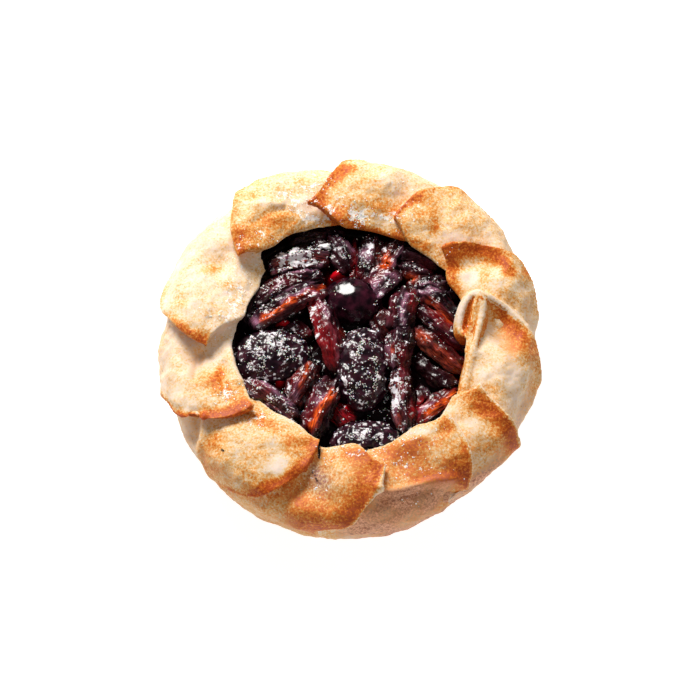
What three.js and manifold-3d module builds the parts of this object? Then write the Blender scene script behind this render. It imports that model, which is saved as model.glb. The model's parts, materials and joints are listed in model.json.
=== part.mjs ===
// A round fruit galette: one sheet of dough folded up over a heap of plum slices and small
// whole plums, its edge laid in eleven overlapping pleats round an open middle.
// Millimetres, +Z up, the flat underside on Z = 0.
import * as THREE from 'three';
import { mergeVertices } from 'three/addons/utils/BufferGeometryUtils.js';
import Module from 'manifold-3d';

const wasm = await Module();
wasm.setup();

// ---------------------------------------------------------------- driving dimensions

const BASE_R = 68.5;       // radius of the flat underside
const WALL_R = 71.8;       // radius where the side bulges most
const CROWN_R = 61.5;      // radius of the top of the fold
const CROWN_Z = 32.6;      // height of the top of the fold
const RIM_Z = 31;          // height of the dough's cut edge at the opening
const RIM_R = 46;          // mean radius of the opening
const DOUGH = 3.2;         // thickness of the sheet
const PLEAT_DOUGH = 2.8;   // thickness of a pleat's free edge
const SINK = 1.3;          // how deep a pleat's fixed part is sunk in the sheet
const GAP = 0.3;           // clearance between pieces that touch
const CUT_GAP = 0.5;       // the same where a piece is cut back by the crust
const FRUIT_Z = 21.5;      // height of the filling under the top fruit, at the middle
const FRUIT_EDGE_Z = 19;   // and beside the rim
const TUCK = 3.5;          // how far the loose fruit reaches under the rim

// Where on the side, as a share of the way from the underside's edge (0) to the opening (1),
// a pleat starts to part from the sheet and where its free edge is clear of it.
const PLEAT_ROOT = 0.13;
const PLEAT_FREE = 0.42;
const OVERLAP_DEG = 7;      // how far a pleat starts under the one before it
const HALF_PLEAT_DEG = 14;  // from a pleat's tip back to its middle
const START_SUNK = 0.6;     // how deep a pleat's top side starts in the sheet
const LIP_RUN = 0.1;        // share of the way to the opening over which its lip rises

// Share of a pleat's width from which its cut edge draws back to the tip, its underside
// parts from the sheet, and its last strip curls up.
const TIP_FROM = 0.6;
const PART_FROM = 0.7;
const CURL_FROM = 0.75;

const FLOOR_ROUND = 3;      // how far in from the wall's foot the inside floor starts
const FOLD_START = 0.5;     // share of the way to the opening where the side turns in
const FOLD_BLEND = 0.1;     // over how much of it dents begin
const NECK_GAP = 0.6;       // clearance between the fruit and the opening's cut edge
const NECK_DROP = 1.5;      // how far under the cut edge that clearance starts

// The pleats, counter-clockwise from the upper left. foot: where the free edge leaves the
// side; tip, tipR: where it ends at the cut edge; openR: the pleat's distance from the axis;
// out: how far its side stands out from WALL_R; lift: how far the free edge stands off the
// dough under it; curl: how much further its last strip turns up; lip: height of a turned-up
// rim at the opening; swirl: how much of its sweep round the side the free edge makes low down.
const PLEATS = [
  { foot: 114.8, tip: 142.9, tipR: 55.4, openR: 51.5, out: 5.8, lift: 6.4, curl: 0, lip: 0, swirl: 1.2 },
  { foot: 160.9, tip: 184.2, tipR: 55, openR: 43.5, out: 1.6, lift: 5.6, curl: 0, lip: 0, swirl: 1.3 },
  { foot: 194.5, tip: 218.1, tipR: 47.9, openR: 46.5, out: 0.2, lift: 4, curl: 0.4, lip: 0.8, swirl: 2 },
  { foot: 228.4, tip: 255.5, tipR: 44.2, openR: 41, out: 1.8, lift: 4, curl: 0, lip: 0, swirl: 2.1 },
  { foot: 261.2, tip: 285.2, tipR: 53.1, openR: 44.2, out: 1.4, lift: 4.7, curl: 0, lip: 0, swirl: 1.4 },
  { foot: 302.1, tip: 318.6, tipR: 49.8, openR: 44.4, out: -1, lift: 4, curl: 0.8, lip: 0.6, swirl: 2.2 },
  { foot: 329.2, tip: 338.7, tipR: 53.5, openR: 46.5, out: 0, lift: 4, curl: 1.2, lip: 0, swirl: 0.7 },
  { foot: 351.5, tip: 378.7, tipR: 52.6, openR: 46.5, out: -0.8, lift: 4, curl: 1.6, lip: 2.2, swirl: 1.4 },
  { foot: 372, tip: 405.9, tipR: 52.5, openR: 47, out: 4.4, lift: 4, curl: 1.6, lip: 0.6, swirl: 1.6 },
  { foot: 404.8, tip: 430.9, tipR: 53.9, openR: 48, out: 7, lift: 4, curl: 0.4, lip: 0, swirl: 2.1 },
  { foot: 445.4, tip: 467.8, tipR: 58.5, openR: 48.5, out: 4.6, lift: 6.4, curl: 0.6, lip: 0, swirl: 0.8 },
];

// Dents and swellings of the folded dough: where (angle and distance from the axis), how far
// they spread, and how high they stand.
const RELIEF = [
  { deg: 148, r: 61, spread: 4.5, height: -3 },
  { deg: 33, r: 60, spread: 5.5, height: -4 },
  { deg: 19, r: 65, spread: 4.5, height: 1.6 },
  { deg: 6, r: 60, spread: 6, height: -4.6 },
  { deg: -10, r: 62, spread: 6, height: 1.2 },
  { deg: -31, r: 60, spread: 5, height: -2 },
  { deg: -52, r: 56, spread: 6, height: 2 },
  { deg: -64, r: 61, spread: 5, height: -1.6 },
  { deg: -87, r: 56, spread: 6, height: 1.8 },
  { deg: -104, r: 62, spread: 4.5, height: -3 },
  { deg: -131, r: 58, spread: 8, height: 2 },
  { deg: -172, r: 59, spread: 5.5, height: -3.4 },
  { deg: 166, r: 57, spread: 6, height: 1.4 },
  { deg: 122, r: 60, spread: 7, height: 1.2 },
  { deg: 88, r: 58, spread: 7, height: 1.6 },
  { deg: 77, r: 69, spread: 4, height: 2.4 },
  { deg: 60, r: 60, spread: 6, height: 1.4 },
];

// The loose corner of the eighth pleat, rolled up along the opening and folded back on
// itself: points (x, y, z) along the middle of the roll, and its radius.
const ROLL = [
  [45.2, -18.6, 33.2], [46.2, -9.5, 34.8], [48.4, 1, 36.8], [49, 7, 38.6], [50, 13, 40.4], [49.2, 17, 41],
  [45.8, 18, 39.8], [43.6, 14, 37.4], [42.4, 9, 34.4], [42, 6, 32], [43.8, 3.6, 30.4],
];
const ROLL_R = 2.1;

// Plum slices, topmost first. Each lies between two ends (x, y, z), is a wedge of the given
// width across its skin and depth from skin to core, is rolled about its length so that its
// skin faces up at 0 and to the left of its heading at 90, and bows towards its skin.
const SLICES = [
  { ends: [[-14.8, 21.5, 26], [-4, -13.5, 27.5]], width: 14, depth: 12, roll: 24, bow: 3.5 },
  { ends: [[-40, 7.5, 24.5], [-7, 23, 27]], width: 12, depth: 12, roll: 26, bow: 3.5 },
  { ends: [[-6, -13, 26], [-16, -38.5, 23.5]], width: 13.5, depth: 12, roll: -16, bow: 3 },
  { ends: [[18.5, -7, 25.5], [20.5, -37.5, 24]], width: 11, depth: 12, roll: 20, bow: 2 },
  { ends: [[21, 8.5, 27], [17.5, -12, 27.5]], width: 12, depth: 11, roll: 0, bow: 2 },
  { ends: [[23, 24.5, 27], [18.5, 4.5, 27.5]], width: 12, depth: 12, roll: 8, bow: 2.5 },
  { ends: [[18, 33, 26.5], [5.5, 19.5, 28]], width: 13, depth: 12, roll: -10, bow: 2.5 },
  { ends: [[24.5, 8, 26], [48, -12, 24]], width: 10, depth: 12, roll: -42, bow: 3 },
  { ends: [[26, 17, 25.5], [48, -2, 23.5]], width: 10, depth: 11, roll: -30, bow: 2.5 },
  { ends: [[26.5, 25.5, 25.5], [45, 9.5, 24]], width: 12, depth: 11, roll: -40, bow: 2 },
  { ends: [[22, 24, 25.5], [40, 27, 24]], width: 10, depth: 10, roll: 20, bow: 1.5 },
  { ends: [[-33.5, 33.5, 24.5], [-7, 38, 25.5]], width: 12, depth: 11, roll: 34, bow: 2.5 },
  { ends: [[-39, 18, 24], [-10, 31, 25.5]], width: 13, depth: 11, roll: 20, bow: 3 },
  { ends: [[9.5, 50, 22.5], [5, 27, 26]], width: 10.5, depth: 11, roll: 0, bow: 2 },
  { ends: [[20.5, 48, 22.5], [12.5, 30, 25.5]], width: 10, depth: 11, roll: -30, bow: 2 },
  { ends: [[-9, 50, 22.5], [1, 31.5, 25.5]], width: 11, depth: 11, roll: 12, bow: 2 },
  { ends: [[1.8, 49, 22], [1.2, 26, 25.5]], width: 5, depth: 9, roll: 0, bow: 1 },
  { ends: [[19, 41.5, 23.5], [37, 36, 23]], width: 10, depth: 10, roll: 10, bow: 1.5 },
  { ends: [[18.5, 34, 24], [34, 29.5, 23.5]], width: 9, depth: 10, roll: -20, bow: 1.5 },
  { ends: [[-45.5, -11, 23.5], [-20, -31, 24]], width: 12.5, depth: 11, roll: -22, bow: 3 },
  { ends: [[-14, -5.5, 25], [-27, -28, 24]], width: 11, depth: 11, roll: 22, bow: 2.5 },
  { ends: [[22.5, -34, 22.5], [47, -15.5, 22.5]], width: 11, depth: 11, roll: 36, bow: 2.5 },
  { ends: [[24.5, -2, 23], [46, -20, 22.5]], width: 12, depth: 10, roll: -10, bow: 2 },
  { ends: [[-16.5, 44, 23.5], [-3, 40, 24.5]], width: 9, depth: 9, roll: 10, bow: 1.5 },
  { ends: [[-26, 46, 22], [-1, 51, 21.5]], width: 11, depth: 10, roll: 10, bow: 2 },
  { ends: [[-43, 10, 22.5], [-36, 31, 22.5]], width: 11, depth: 10, roll: 20, bow: 2 },
  { ends: [[26, 32, 23], [42, 20, 22.5]], width: 11, depth: 9, roll: 0, bow: 1.5 },
  { ends: [[9.5, 17, 24.5], [16.5, 1, 25]], width: 10, depth: 10, roll: 0, bow: 1.5 },
  { ends: [[-9, -22, 23], [2, -34, 22.5]], width: 10, depth: 9, roll: 0, bow: 1.5 },
  { ends: [[24, -15, 22.5], [30, -31, 22.5]], width: 10, depth: 8, roll: 0, bow: 1.5 },
  { ends: [[-31, 14, 22.5], [-17, 3, 23]], width: 10, depth: 8, roll: 0, bow: 1.5 },
];

// Small whole plums, set deepest in the heap: middle (x, y, z), half sizes and heading.
const WHOLE_PLUMS = [
  { at: [-31.5, -4.5, 24.5], half: [16.5, 11.5, 9], turn: 8 },
  { at: [4.7, -9.5, 26], half: [10.3, 17.5, 10], turn: 0 },
  { at: [1.2, 19.5, 26], half: [12, 9.5, 8.5], turn: -8 },
  { at: [6.5, -39.5, 22.5], half: [15, 9.5, 8], turn: 0 },
];

// Facets round the galette, and along and across its pieces. SKIN_DEG are the corners of a
// slice's round side, and CORE_SHARE is the share of its width that its core edge has.
const CRUST_COLUMNS = 48;
const CORE_COLUMNS = 30;
const PLEAT_STEPS_ROUND = 6;
const PLEAT_STEPS_UP = 9;
const ROD_SIDES = 4;
const ROD_STEPS = 18;
const SLICE_STEPS = 6;
const PLUM_COLUMNS = 12;
const PLUM_RINGS = 8;
const REACH_STEPS = 20;
const SKIN_DEG = [76, 26, -26, -76];
const CORE_SHARE = 0.3;

// Stations along the sheet, as shares of the way from the underside's edge to the opening:
// up its outside, back down its inside, and up the filling's side.
const OUTSIDE = [0, 0.07, 0.15, 0.24, 0.33, 0.42, 0.51, 0.6, 0.7, 0.8, 0.9, 0.975];
const INSIDE = [0.96, 0.84, 0.7, 0.58, 0.46, 0.3, 0.16];
const FILLED = [0.16, 0.46, 0.58, 0.7, 0.84];

// Facets smaller than this are left out of the joined crust and of the cut fruit.
const CRUST_DETAIL = 0.2;
const FRUIT_DETAIL = 0.2;

// ---------------------------------------------------------------- small helpers

const lerp = THREE.MathUtils.lerp;
const clamp = THREE.MathUtils.clamp;
const smooth = (x, low, high) => THREE.MathUtils.smoothstep(x, low, high);
const radians = THREE.MathUtils.degToRad;

// A point at a distance from the axis, a height, and an angle in degrees.
function polar(r, z, deg) {
  const a = radians(deg);
  return new THREE.Vector3(r * Math.cos(a), r * Math.sin(a), z);
}

// Turn a list of points and triangles into a three.js geometry with shared vertices.
function geometryOf(points, triangles) {
  const geometry = new THREE.BufferGeometry();
  const flat = points.flatMap((p) => [p.x, p.y, p.z]);
  geometry.setAttribute('position', new THREE.Float32BufferAttribute(flat, 3));
  geometry.setIndex(triangles.flat());
  return mergeVertices(geometry, 1e-4);
}

// A closed body from columns of points set round the axis. Every column starts at the same
// point on the axis and ends at the same other point on it, and runs upwards outside. Each
// four-sided facet is split along one diagonal, or along the other where otherWay is true.
function bodyOfColumns(columns, otherWay = false) {
  const count = columns.length;
  const rings = columns[0].length - 2;
  const points = [columns[0][0], columns[0][rings + 1]];
  columns.forEach((column) => points.push(...column.slice(1, -1)));
  const at = (i, j) => 2 + (i % count) * rings + j;
  const triangles = [];
  for (let i = 0; i < count; i += 1) {
    triangles.push([0, at(i + 1, 0), at(i, 0)]);
    triangles.push([1, at(i, rings - 1), at(i + 1, rings - 1)]);
    for (let j = 0; j < rings - 1; j += 1) {
      if (otherWay) {
        triangles.push([at(i, j), at(i + 1, j), at(i, j + 1)]);
        triangles.push([at(i + 1, j), at(i + 1, j + 1), at(i, j + 1)]);
      } else {
        triangles.push([at(i, j), at(i + 1, j), at(i + 1, j + 1)]);
        triangles.push([at(i, j), at(i + 1, j + 1), at(i, j + 1)]);
      }
    }
  }
  return geometryOf(points, triangles);
}

// A closed rod of even thickness through a list of points.
function rod(path, radius) {
  const circle = new THREE.Shape();
  circle.absarc(0, 0, radius, 0, 2 * Math.PI);
  const curve = new THREE.CatmullRomCurve3(path.map((p) => new THREE.Vector3(...p)));
  const geometry = new THREE.ExtrudeGeometry(circle, {
    curveSegments: ROD_SIDES,
    steps: ROD_STEPS,
    extrudePath: curve,
    bevelEnabled: false,
  });
  geometry.deleteAttribute('normal');
  geometry.deleteAttribute('uv');
  return mergeVertices(geometry, 1e-4);
}

// A closed slab between two grids of points, outer[i][j] over under[i][j].
function slab(outer, under) {
  const rows = outer.length;
  const cols = outer[0].length;
  const points = [...outer.flat(), ...under.flat()];
  const top = (i, j) => i * cols + j;
  const low = (i, j) => rows * cols + i * cols + j;
  const triangles = [];
  const quad = (a, b, c, d) => triangles.push([a, b, c], [a, c, d]);
  for (let i = 0; i < rows - 1; i += 1) {
    for (let j = 0; j < cols - 1; j += 1) {
      quad(top(i, j), top(i + 1, j), top(i + 1, j + 1), top(i, j + 1));
      quad(low(i, j), low(i, j + 1), low(i + 1, j + 1), low(i + 1, j));
    }
    quad(top(i, 0), low(i, 0), low(i + 1, 0), top(i + 1, 0));
    quad(top(i + 1, cols - 1), low(i + 1, cols - 1), low(i, cols - 1), top(i, cols - 1));
  }
  for (let j = 0; j < cols - 1; j += 1) {
    quad(top(0, j + 1), low(0, j + 1), low(0, j), top(0, j));
    quad(top(rows - 1, j), low(rows - 1, j), low(rows - 1, j + 1), top(rows - 1, j + 1));
  }
  return geometryOf(points, triangles);
}

// three.js geometry to a manifold solid and back.
function toSolid(geometry) {
  const vertProperties = new Float32Array(geometry.attributes.position.array);
  const triVerts = new Uint32Array(geometry.index.array);
  return new wasm.Manifold(new wasm.Mesh({ numProp: 3, vertProperties, triVerts }));
}

function toGeometry(solid) {
  const mesh = solid.getMesh();
  const geometry = new THREE.BufferGeometry();
  geometry.setAttribute('position', new THREE.BufferAttribute(mesh.vertProperties, 3));
  geometry.setIndex(new THREE.BufferAttribute(mesh.triVerts, 1));
  return geometry;
}

// The biggest separate body of a solid, without slivers shorter than tolerance.
function mainBody(solid, tolerance) {
  const bodies = solid.simplify(tolerance).decompose();
  bodies.sort((a, b) => b.volume() - a.volume());
  return bodies[0];
}

// ---------------------------------------------------------------- the sheet's shape

// The section of the folded sheet's outside, from the underside's edge over the fold to a
// little past the opening, as distance from the axis (x) and height (y).
const PAST_RIM = 1.1;
const section = new THREE.SplineCurve([
  new THREE.Vector2(BASE_R, 0),
  new THREE.Vector2(WALL_R - 1.3, 4),
  new THREE.Vector2(WALL_R, 11),
  new THREE.Vector2(WALL_R, 18),
  new THREE.Vector2(WALL_R - 2, 25),
  new THREE.Vector2(CROWN_R + 5.5, 30.4),
  new THREE.Vector2(CROWN_R, CROWN_Z),
  new THREE.Vector2(CROWN_R - 6, CROWN_Z + 0.2),
  new THREE.Vector2(RIM_R + 4, RIM_Z + 1.5),
  new THREE.Vector2(RIM_R, RIM_Z),
  new THREE.Vector2(RIM_R - 5, RIM_Z - 2.6),
]);

// One of the pleats' sizes at any angle, eased from each pleat's middle to the next.
function eased(size, deg) {
  const turns = PLEATS.length;
  const middle = (k) => {
    const wrap = 360 * Math.floor(k / turns);
    const pleat = PLEATS[k % turns];
    return { deg: pleat.tip - HALF_PLEAT_DEG + wrap, value: pleat[size] };
  };
  const first = middle(0).deg;
  const angle = first + ((((deg - first) % 360) + 360) % 360);
  let k = 0;
  while (middle(k + 1).deg <= angle) {
    k += 1;
  }
  const before = middle(k);
  const after = middle(k + 1);
  return lerp(before.value, after.value, smooth(angle, before.deg, after.deg));
}

// Distance of the opening's edge from the axis.
function openingRadius(deg) {
  return eased('openR', deg);
}

// Height of the dents and swellings at a place in plan.
function relief(deg, r) {
  return RELIEF.reduce((sum, spot) => {
    const far = polar(r, 0, deg).distanceTo(polar(spot.r, 0, spot.deg));
    return sum + spot.height * Math.exp(-0.5 * (far / spot.spread) ** 2);
  }, 0);
}

// The point of the sheet a share w of the way from the underside's edge to the opening,
// moved out from the sheet's surface by off.
function sheet(deg, w, off) {
  const t = clamp(w / PAST_RIM, 0, 1);
  const p = section.getPointAt(t);
  const along = section.getTangentAt(t);
  const inward = smooth(w, FOLD_START, 1);
  const r = p.x + lerp(eased('out', deg), openingRadius(deg) - RIM_R, inward);
  const dent = relief(deg, r) * smooth(w, FOLD_START - FOLD_BLEND, FOLD_START + FOLD_BLEND);
  return polar(r + along.y * off, p.y + dent - along.x * off, deg);
}

// How far along the sheet (w) its surface reaches a given distance from the axis.
function reachOf(deg, r) {
  let low = FOLD_START + FOLD_BLEND;
  let high = PAST_RIM;
  for (let step = 0; step < REACH_STEPS; step += 1) {
    const middle = (low + high) / 2;
    const p = sheet(deg, middle, 0);
    if (Math.hypot(p.x, p.y) > r) {
      low = middle;
    } else {
      high = middle;
    }
  }
  return (low + high) / 2;
}

// ---------------------------------------------------------------- crust

// The plain sheet under the pleats: base, side and fold, with an even thickness.
function sheetBody() {
  const columns = [];
  for (let i = 0; i < CRUST_COLUMNS; i += 1) {
    const deg = (360 / CRUST_COLUMNS) * i;
    const foot = inner(deg, INSIDE.at(-1), DOUGH);
    columns.push([
      new THREE.Vector3(0, 0, 0),
      ...OUTSIDE.map((w) => sheet(deg, w, 0)),
      ...INSIDE.map((w) => inner(deg, w, DOUGH)),
      polar(Math.hypot(foot.x, foot.y) - FLOOR_ROUND, DOUGH, deg),
      new THREE.Vector3(0, 0, DOUGH),
    ]);
  }
  return bodyOfColumns(columns);
}

// A point of the sheet's inner side, a given depth under its outside.
function inner(deg, w, depth) {
  return sheet(deg, w, -depth);
}

// Angle of a pleat's free edge, a share s of the way from its foot (0) to its tip (1).
function edgeAngle(pleat, s) {
  return pleat.tip - (pleat.tip - pleat.foot) * clamp(1 - s, 0, 1) ** pleat.swirl;
}

// One pleat: a slab of dough that starts sunk in the sheet, under the pleat before it, and
// rises towards its own free edge, which stands clear of the sheet. grow makes it that much
// thicker and reach that much further over the opening.
function pleatBody(index, grow) {
  const pleat = PLEATS[index];
  const last = PLEATS[(index + PLEATS.length - 1) % PLEATS.length];
  const back = index === 0 ? 360 : 0;
  const outer = [];
  const under = [];
  for (let i = 0; i <= PLEAT_STEPS_ROUND; i += 1) {
    const u = i / PLEAT_STEPS_ROUND;
    const rimDeg = lerp(last.tip - back - OVERLAP_DEG, pleat.tip, u);
    const setBack = smooth(u, TIP_FROM, 1);
    const rim = reachOf(rimDeg, lerp(pleat.openR, pleat.tipR, setBack) - grow);
    const topRow = [];
    const lowRow = [];
    for (let j = 0; j <= PLEAT_STEPS_UP; j += 1) {
      const w = lerp(PLEAT_ROOT, rim, j / PLEAT_STEPS_UP);
      const s = (w - PLEAT_FREE) / (rim - PLEAT_FREE);
      const start = edgeAngle(last, s) - back - OVERLAP_DEG;
      const deg = lerp(start, edgeAngle(pleat, s), u);
      const clear = smooth(w, PLEAT_ROOT, PLEAT_FREE);
      const rise = lerp(Math.sin((Math.PI / 2) * u), smooth(u, 0, 1), 0.5) * clear;
      const curl = pleat.curl * smooth(u, CURL_FROM, 1) * clear;
      const lip = pleat.lip * smooth(w, rim - LIP_RUN, rim) + curl;
      const off = lerp(-START_SUNK, pleat.lift, rise) + lip;
      const sunk = -SINK + pleat.lift * smooth(u, PART_FROM, 1) * clear + lip;
      const low = Math.min(Math.max(off - PLEAT_DOUGH, -SINK), sunk);
      topRow.push(sheet(deg, w, off + grow));
      lowRow.push(sheet(deg, w, low - grow));
    }
    outer.push(topRow);
    under.push(lowRow);
  }
  return slab(outer, under);
}

function crustBody() {
  let body = toSolid(sheetBody());
  PLEATS.forEach((pleat, index) => {
    body = body.add(toSolid(pleatBody(index, 0)));
  });
  body = body.add(toSolid(rod(ROLL, ROLL_R)));
  return mainBody(body, CRUST_DETAIL);
}

// ---------------------------------------------------------------- filling and fruit

// Height of the filling's top under the loose fruit.
function fillingTop(r) {
  return lerp(FRUIT_Z, FRUIT_EDGE_Z, smooth(r, 0, RIM_R));
}

// The crust's folded parts made a little thicker, to cut their neighbours back with.
function crustRoom() {
  return PLEATS.reduce(
    (room, pleat, index) => room.add(toSolid(pleatBody(index, CUT_GAP))),
    toSolid(rod(ROLL, ROLL_R + CUT_GAP)),
  );
}

// The filling: it fills the dough up to the loose fruit, and right up under the fold.
function fillingBody() {
  const columns = [];
  for (let i = 0; i < CRUST_COLUMNS; i += 1) {
    const deg = (360 / CRUST_COLUMNS) * i;
    const foot = inner(deg, FILLED[0], DOUGH + GAP);
    const edge = openingRadius(deg) + TUCK;
    columns.push([
      new THREE.Vector3(0, 0, DOUGH + GAP),
      polar(Math.hypot(foot.x, foot.y) - FLOOR_ROUND - GAP, DOUGH + GAP, deg),
      ...FILLED.map((w) => inner(deg, w, DOUGH + GAP)),
      polar(edge, fillingTop(edge), deg),
      polar(edge / 2, fillingTop(edge / 2), deg),
      new THREE.Vector3(0, 0, FRUIT_Z),
    ]);
  }
  // The facets under the fold are split as those of the dough over them are.
  const full = toSolid(bodyOfColumns(columns, true));
  return mainBody(full.subtract(crustRoom()), FRUIT_DETAIL);
}

// The space that the loose fruit may fill: over the filling, a little way under the rim, and
// up through the opening.
function fruitSpace() {
  const columns = [];
  for (let i = 0; i < CORE_COLUMNS; i += 1) {
    const deg = (360 / CORE_COLUMNS) * i;
    const open = openingRadius(deg);
    const edge = open + TUCK - CUT_GAP;
    const neck = open - NECK_GAP;
    columns.push([
      new THREE.Vector3(0, 0, FRUIT_Z + 2 * GAP),
      polar(edge / 2, fillingTop(edge / 2) + 2 * GAP, deg),
      polar(edge, fillingTop(edge) + GAP, deg),
      inner(deg, reachOf(deg, edge + NECK_GAP), DOUGH + 3 * GAP),
      polar(neck, RIM_Z - DOUGH - NECK_DROP, deg),
      polar(neck, 2 * RIM_Z, deg),
      new THREE.Vector3(0, 0, 2 * RIM_Z),
    ]);
  }
  return bodyOfColumns(columns);
}

// A wedge of plum: a round skin side, two flat cut sides that meet in a blunt core edge, and
// blunt ends, all bowed towards the skin. grow makes it that much bigger all round.
function sliceBody(slice, grow) {
  const [a, b] = slice.ends.map((end) => new THREE.Vector3(...end));
  const ahead = b.clone().sub(a).normalize();
  const left = new THREE.Vector3(0, 0, 1).cross(ahead).normalize();
  const up = ahead.clone().cross(left);
  const turn = radians(slice.roll);
  const skin = up.clone().multiplyScalar(Math.cos(turn)).addScaledVector(left, Math.sin(turn));
  const side = skin.clone().cross(ahead);
  a.addScaledVector(ahead, -grow);
  b.addScaledVector(ahead, grow);
  const halfWidth = slice.width / 2 + grow;
  const halfDepth = slice.depth / 2 + grow;
  const outline = SKIN_DEG.map((deg) => {
    return [Math.sin(radians(deg)) * halfWidth, Math.cos(radians(deg)) * halfDepth];
  });
  outline.push([-CORE_SHARE * halfWidth, -halfDepth], [CORE_SHARE * halfWidth, -halfDepth]);
  const columns = outline.map(([x, y]) => {
    const column = [];
    for (let i = 0; i <= SLICE_STEPS; i += 1) {
      const t = i / SLICE_STEPS;
      const full = Math.sin(Math.PI * t) ** 0.5;
      const bow = slice.bow * (4 * t * (1 - t) - 0.5);
      const p = a.clone().lerp(b, 0.5 - 0.5 * Math.cos(Math.PI * t));
      column.push(p.addScaledVector(side, x * full).addScaledVector(skin, y * full + bow));
    }
    return column;
  });
  return bodyOfColumns(columns);
}

// A small whole plum, a little flattened and pinched at its stalk end.
function plumBody(plum, grow) {
  const [x, y, z] = plum.half.map((half) => half + grow);
  const geometry = new THREE.SphereGeometry(1, PLUM_COLUMNS, PLUM_RINGS);
  geometry.deleteAttribute('normal');
  geometry.deleteAttribute('uv');
  geometry.rotateX(Math.PI / 2);
  geometry.scale(x, y, z);
  geometry.rotateZ(radians(plum.turn));
  geometry.translate(...plum.at);
  return mergeVertices(geometry, 1e-4);
}

// Every piece of fruit, topmost first, each cut back to clear the crust and the ones before it.
function fruitPieces() {
  const space = toSolid(fruitSpace());
  const pieces = [];
  let taken = crustRoom();
  const place = (name, body, grown) => {
    const solid = toSolid(body).intersect(space).subtract(taken);
    pieces.push({ name, solid: mainBody(solid, FRUIT_DETAIL) });
    taken = taken.add(toSolid(grown));
  };
  WHOLE_PLUMS.forEach((plum, index) => {
    place(`whole_plum_${index + 1}`, plumBody(plum, 0), plumBody(plum, GAP));
  });
  SLICES.forEach((slice, index) => {
    place(`plum_slice_${index + 1}`, sliceBody(slice, 0), sliceBody(slice, GAP));
  });
  return pieces;
}

// ---------------------------------------------------------------- materials and scene

function dough() {
  return new THREE.MeshStandardMaterial({ color: 0xe6be86, roughness: 0.75, metalness: 0 });
}

function plumSkin() {
  return new THREE.MeshStandardMaterial({ color: 0x3a1420, roughness: 0.4, metalness: 0 });
}

function juice() {
  return new THREE.MeshStandardMaterial({ color: 0x2a0610, roughness: 0.2, metalness: 0 });
}

function pieceMesh(name, geometry, material) {
  const mesh = new THREE.Mesh(geometry, material);
  mesh.name = name;
  return mesh;
}

const galette = new THREE.Group();
galette.add(pieceMesh('crust', toGeometry(crustBody()), dough()));
galette.add(pieceMesh('filling', toGeometry(fillingBody()), juice()));
fruitPieces().forEach(({ name, solid }) => {
  galette.add(pieceMesh(name, toGeometry(solid), plumSkin()));
});

// The middle of the galette's box goes on the Z axis.
const middle = new THREE.Box3().setFromObject(galette).getCenter(new THREE.Vector3());
galette.position.set(-middle.x, -middle.y, 0);

export default galette;
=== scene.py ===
"""A round fruit galette: pleated pastry folded up over plums, dusted with sugar."""
import json
import math
import random

import bpy
import numpy as np
from mathutils import Matrix, Vector, noise
from mathutils.bvhtree import BVHTree
from mathutils.kdtree import KDTree

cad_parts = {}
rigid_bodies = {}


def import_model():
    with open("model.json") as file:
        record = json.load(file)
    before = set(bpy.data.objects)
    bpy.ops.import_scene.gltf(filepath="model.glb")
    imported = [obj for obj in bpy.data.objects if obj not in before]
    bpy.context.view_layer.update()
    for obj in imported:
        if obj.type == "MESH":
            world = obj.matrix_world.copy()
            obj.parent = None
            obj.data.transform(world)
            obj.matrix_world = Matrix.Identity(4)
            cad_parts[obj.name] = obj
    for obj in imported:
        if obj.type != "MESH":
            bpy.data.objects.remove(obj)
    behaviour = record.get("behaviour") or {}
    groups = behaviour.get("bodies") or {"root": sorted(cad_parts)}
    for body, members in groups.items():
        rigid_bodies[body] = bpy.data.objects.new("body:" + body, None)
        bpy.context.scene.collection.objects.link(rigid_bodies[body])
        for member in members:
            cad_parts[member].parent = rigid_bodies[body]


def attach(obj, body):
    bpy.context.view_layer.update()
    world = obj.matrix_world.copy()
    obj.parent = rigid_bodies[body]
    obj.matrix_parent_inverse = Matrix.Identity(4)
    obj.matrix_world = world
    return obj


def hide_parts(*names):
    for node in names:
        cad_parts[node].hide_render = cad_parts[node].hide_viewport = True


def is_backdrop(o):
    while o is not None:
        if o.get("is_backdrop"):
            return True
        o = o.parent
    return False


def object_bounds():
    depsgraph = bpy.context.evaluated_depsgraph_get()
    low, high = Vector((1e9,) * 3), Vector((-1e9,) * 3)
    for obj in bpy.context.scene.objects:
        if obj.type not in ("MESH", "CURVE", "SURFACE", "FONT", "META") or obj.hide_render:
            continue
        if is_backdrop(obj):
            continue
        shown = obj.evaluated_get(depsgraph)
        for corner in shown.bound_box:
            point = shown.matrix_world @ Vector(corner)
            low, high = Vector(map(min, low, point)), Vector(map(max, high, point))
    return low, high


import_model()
cad_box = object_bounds()

# ------------------------------------------------------------------ camera, light, floor
# The galette is seen from the front and high above it, on a pale table in bright studio
# light: one large soft lamp behind it to the left, a weaker one in front, white all round.

MM = 0.001
MIDDLE_MM = (0.08, -3.04)          # where the axis of the opening stands in the frame
AIM_MM = (0.08, -3.04, 22.8)
CAMERA_ELEVATION = math.radians(68)
CAMERA_DISTANCE = 0.72
CAMERA_LENS = 94                   # mm, on a 36 mm sensor
ROOM_LIGHT, ROOM_MIRRORED = 0.24, 0.03     # how bright the white room is, lit by and mirrored
TABLE_SIZE, TABLE_Z = 6, -0.0002


def linear(hex_colour):
    """An sRGB hex colour as the linear RGBA that shaders take."""
    channels = [int(hex_colour[i:i + 2], 16) / 255 for i in (1, 3, 5)]
    return tuple(c / 12.92 if c <= 0.04045 else ((c + 0.055) / 1.055) ** 2.4
                 for c in channels) + (1.0,)


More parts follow.
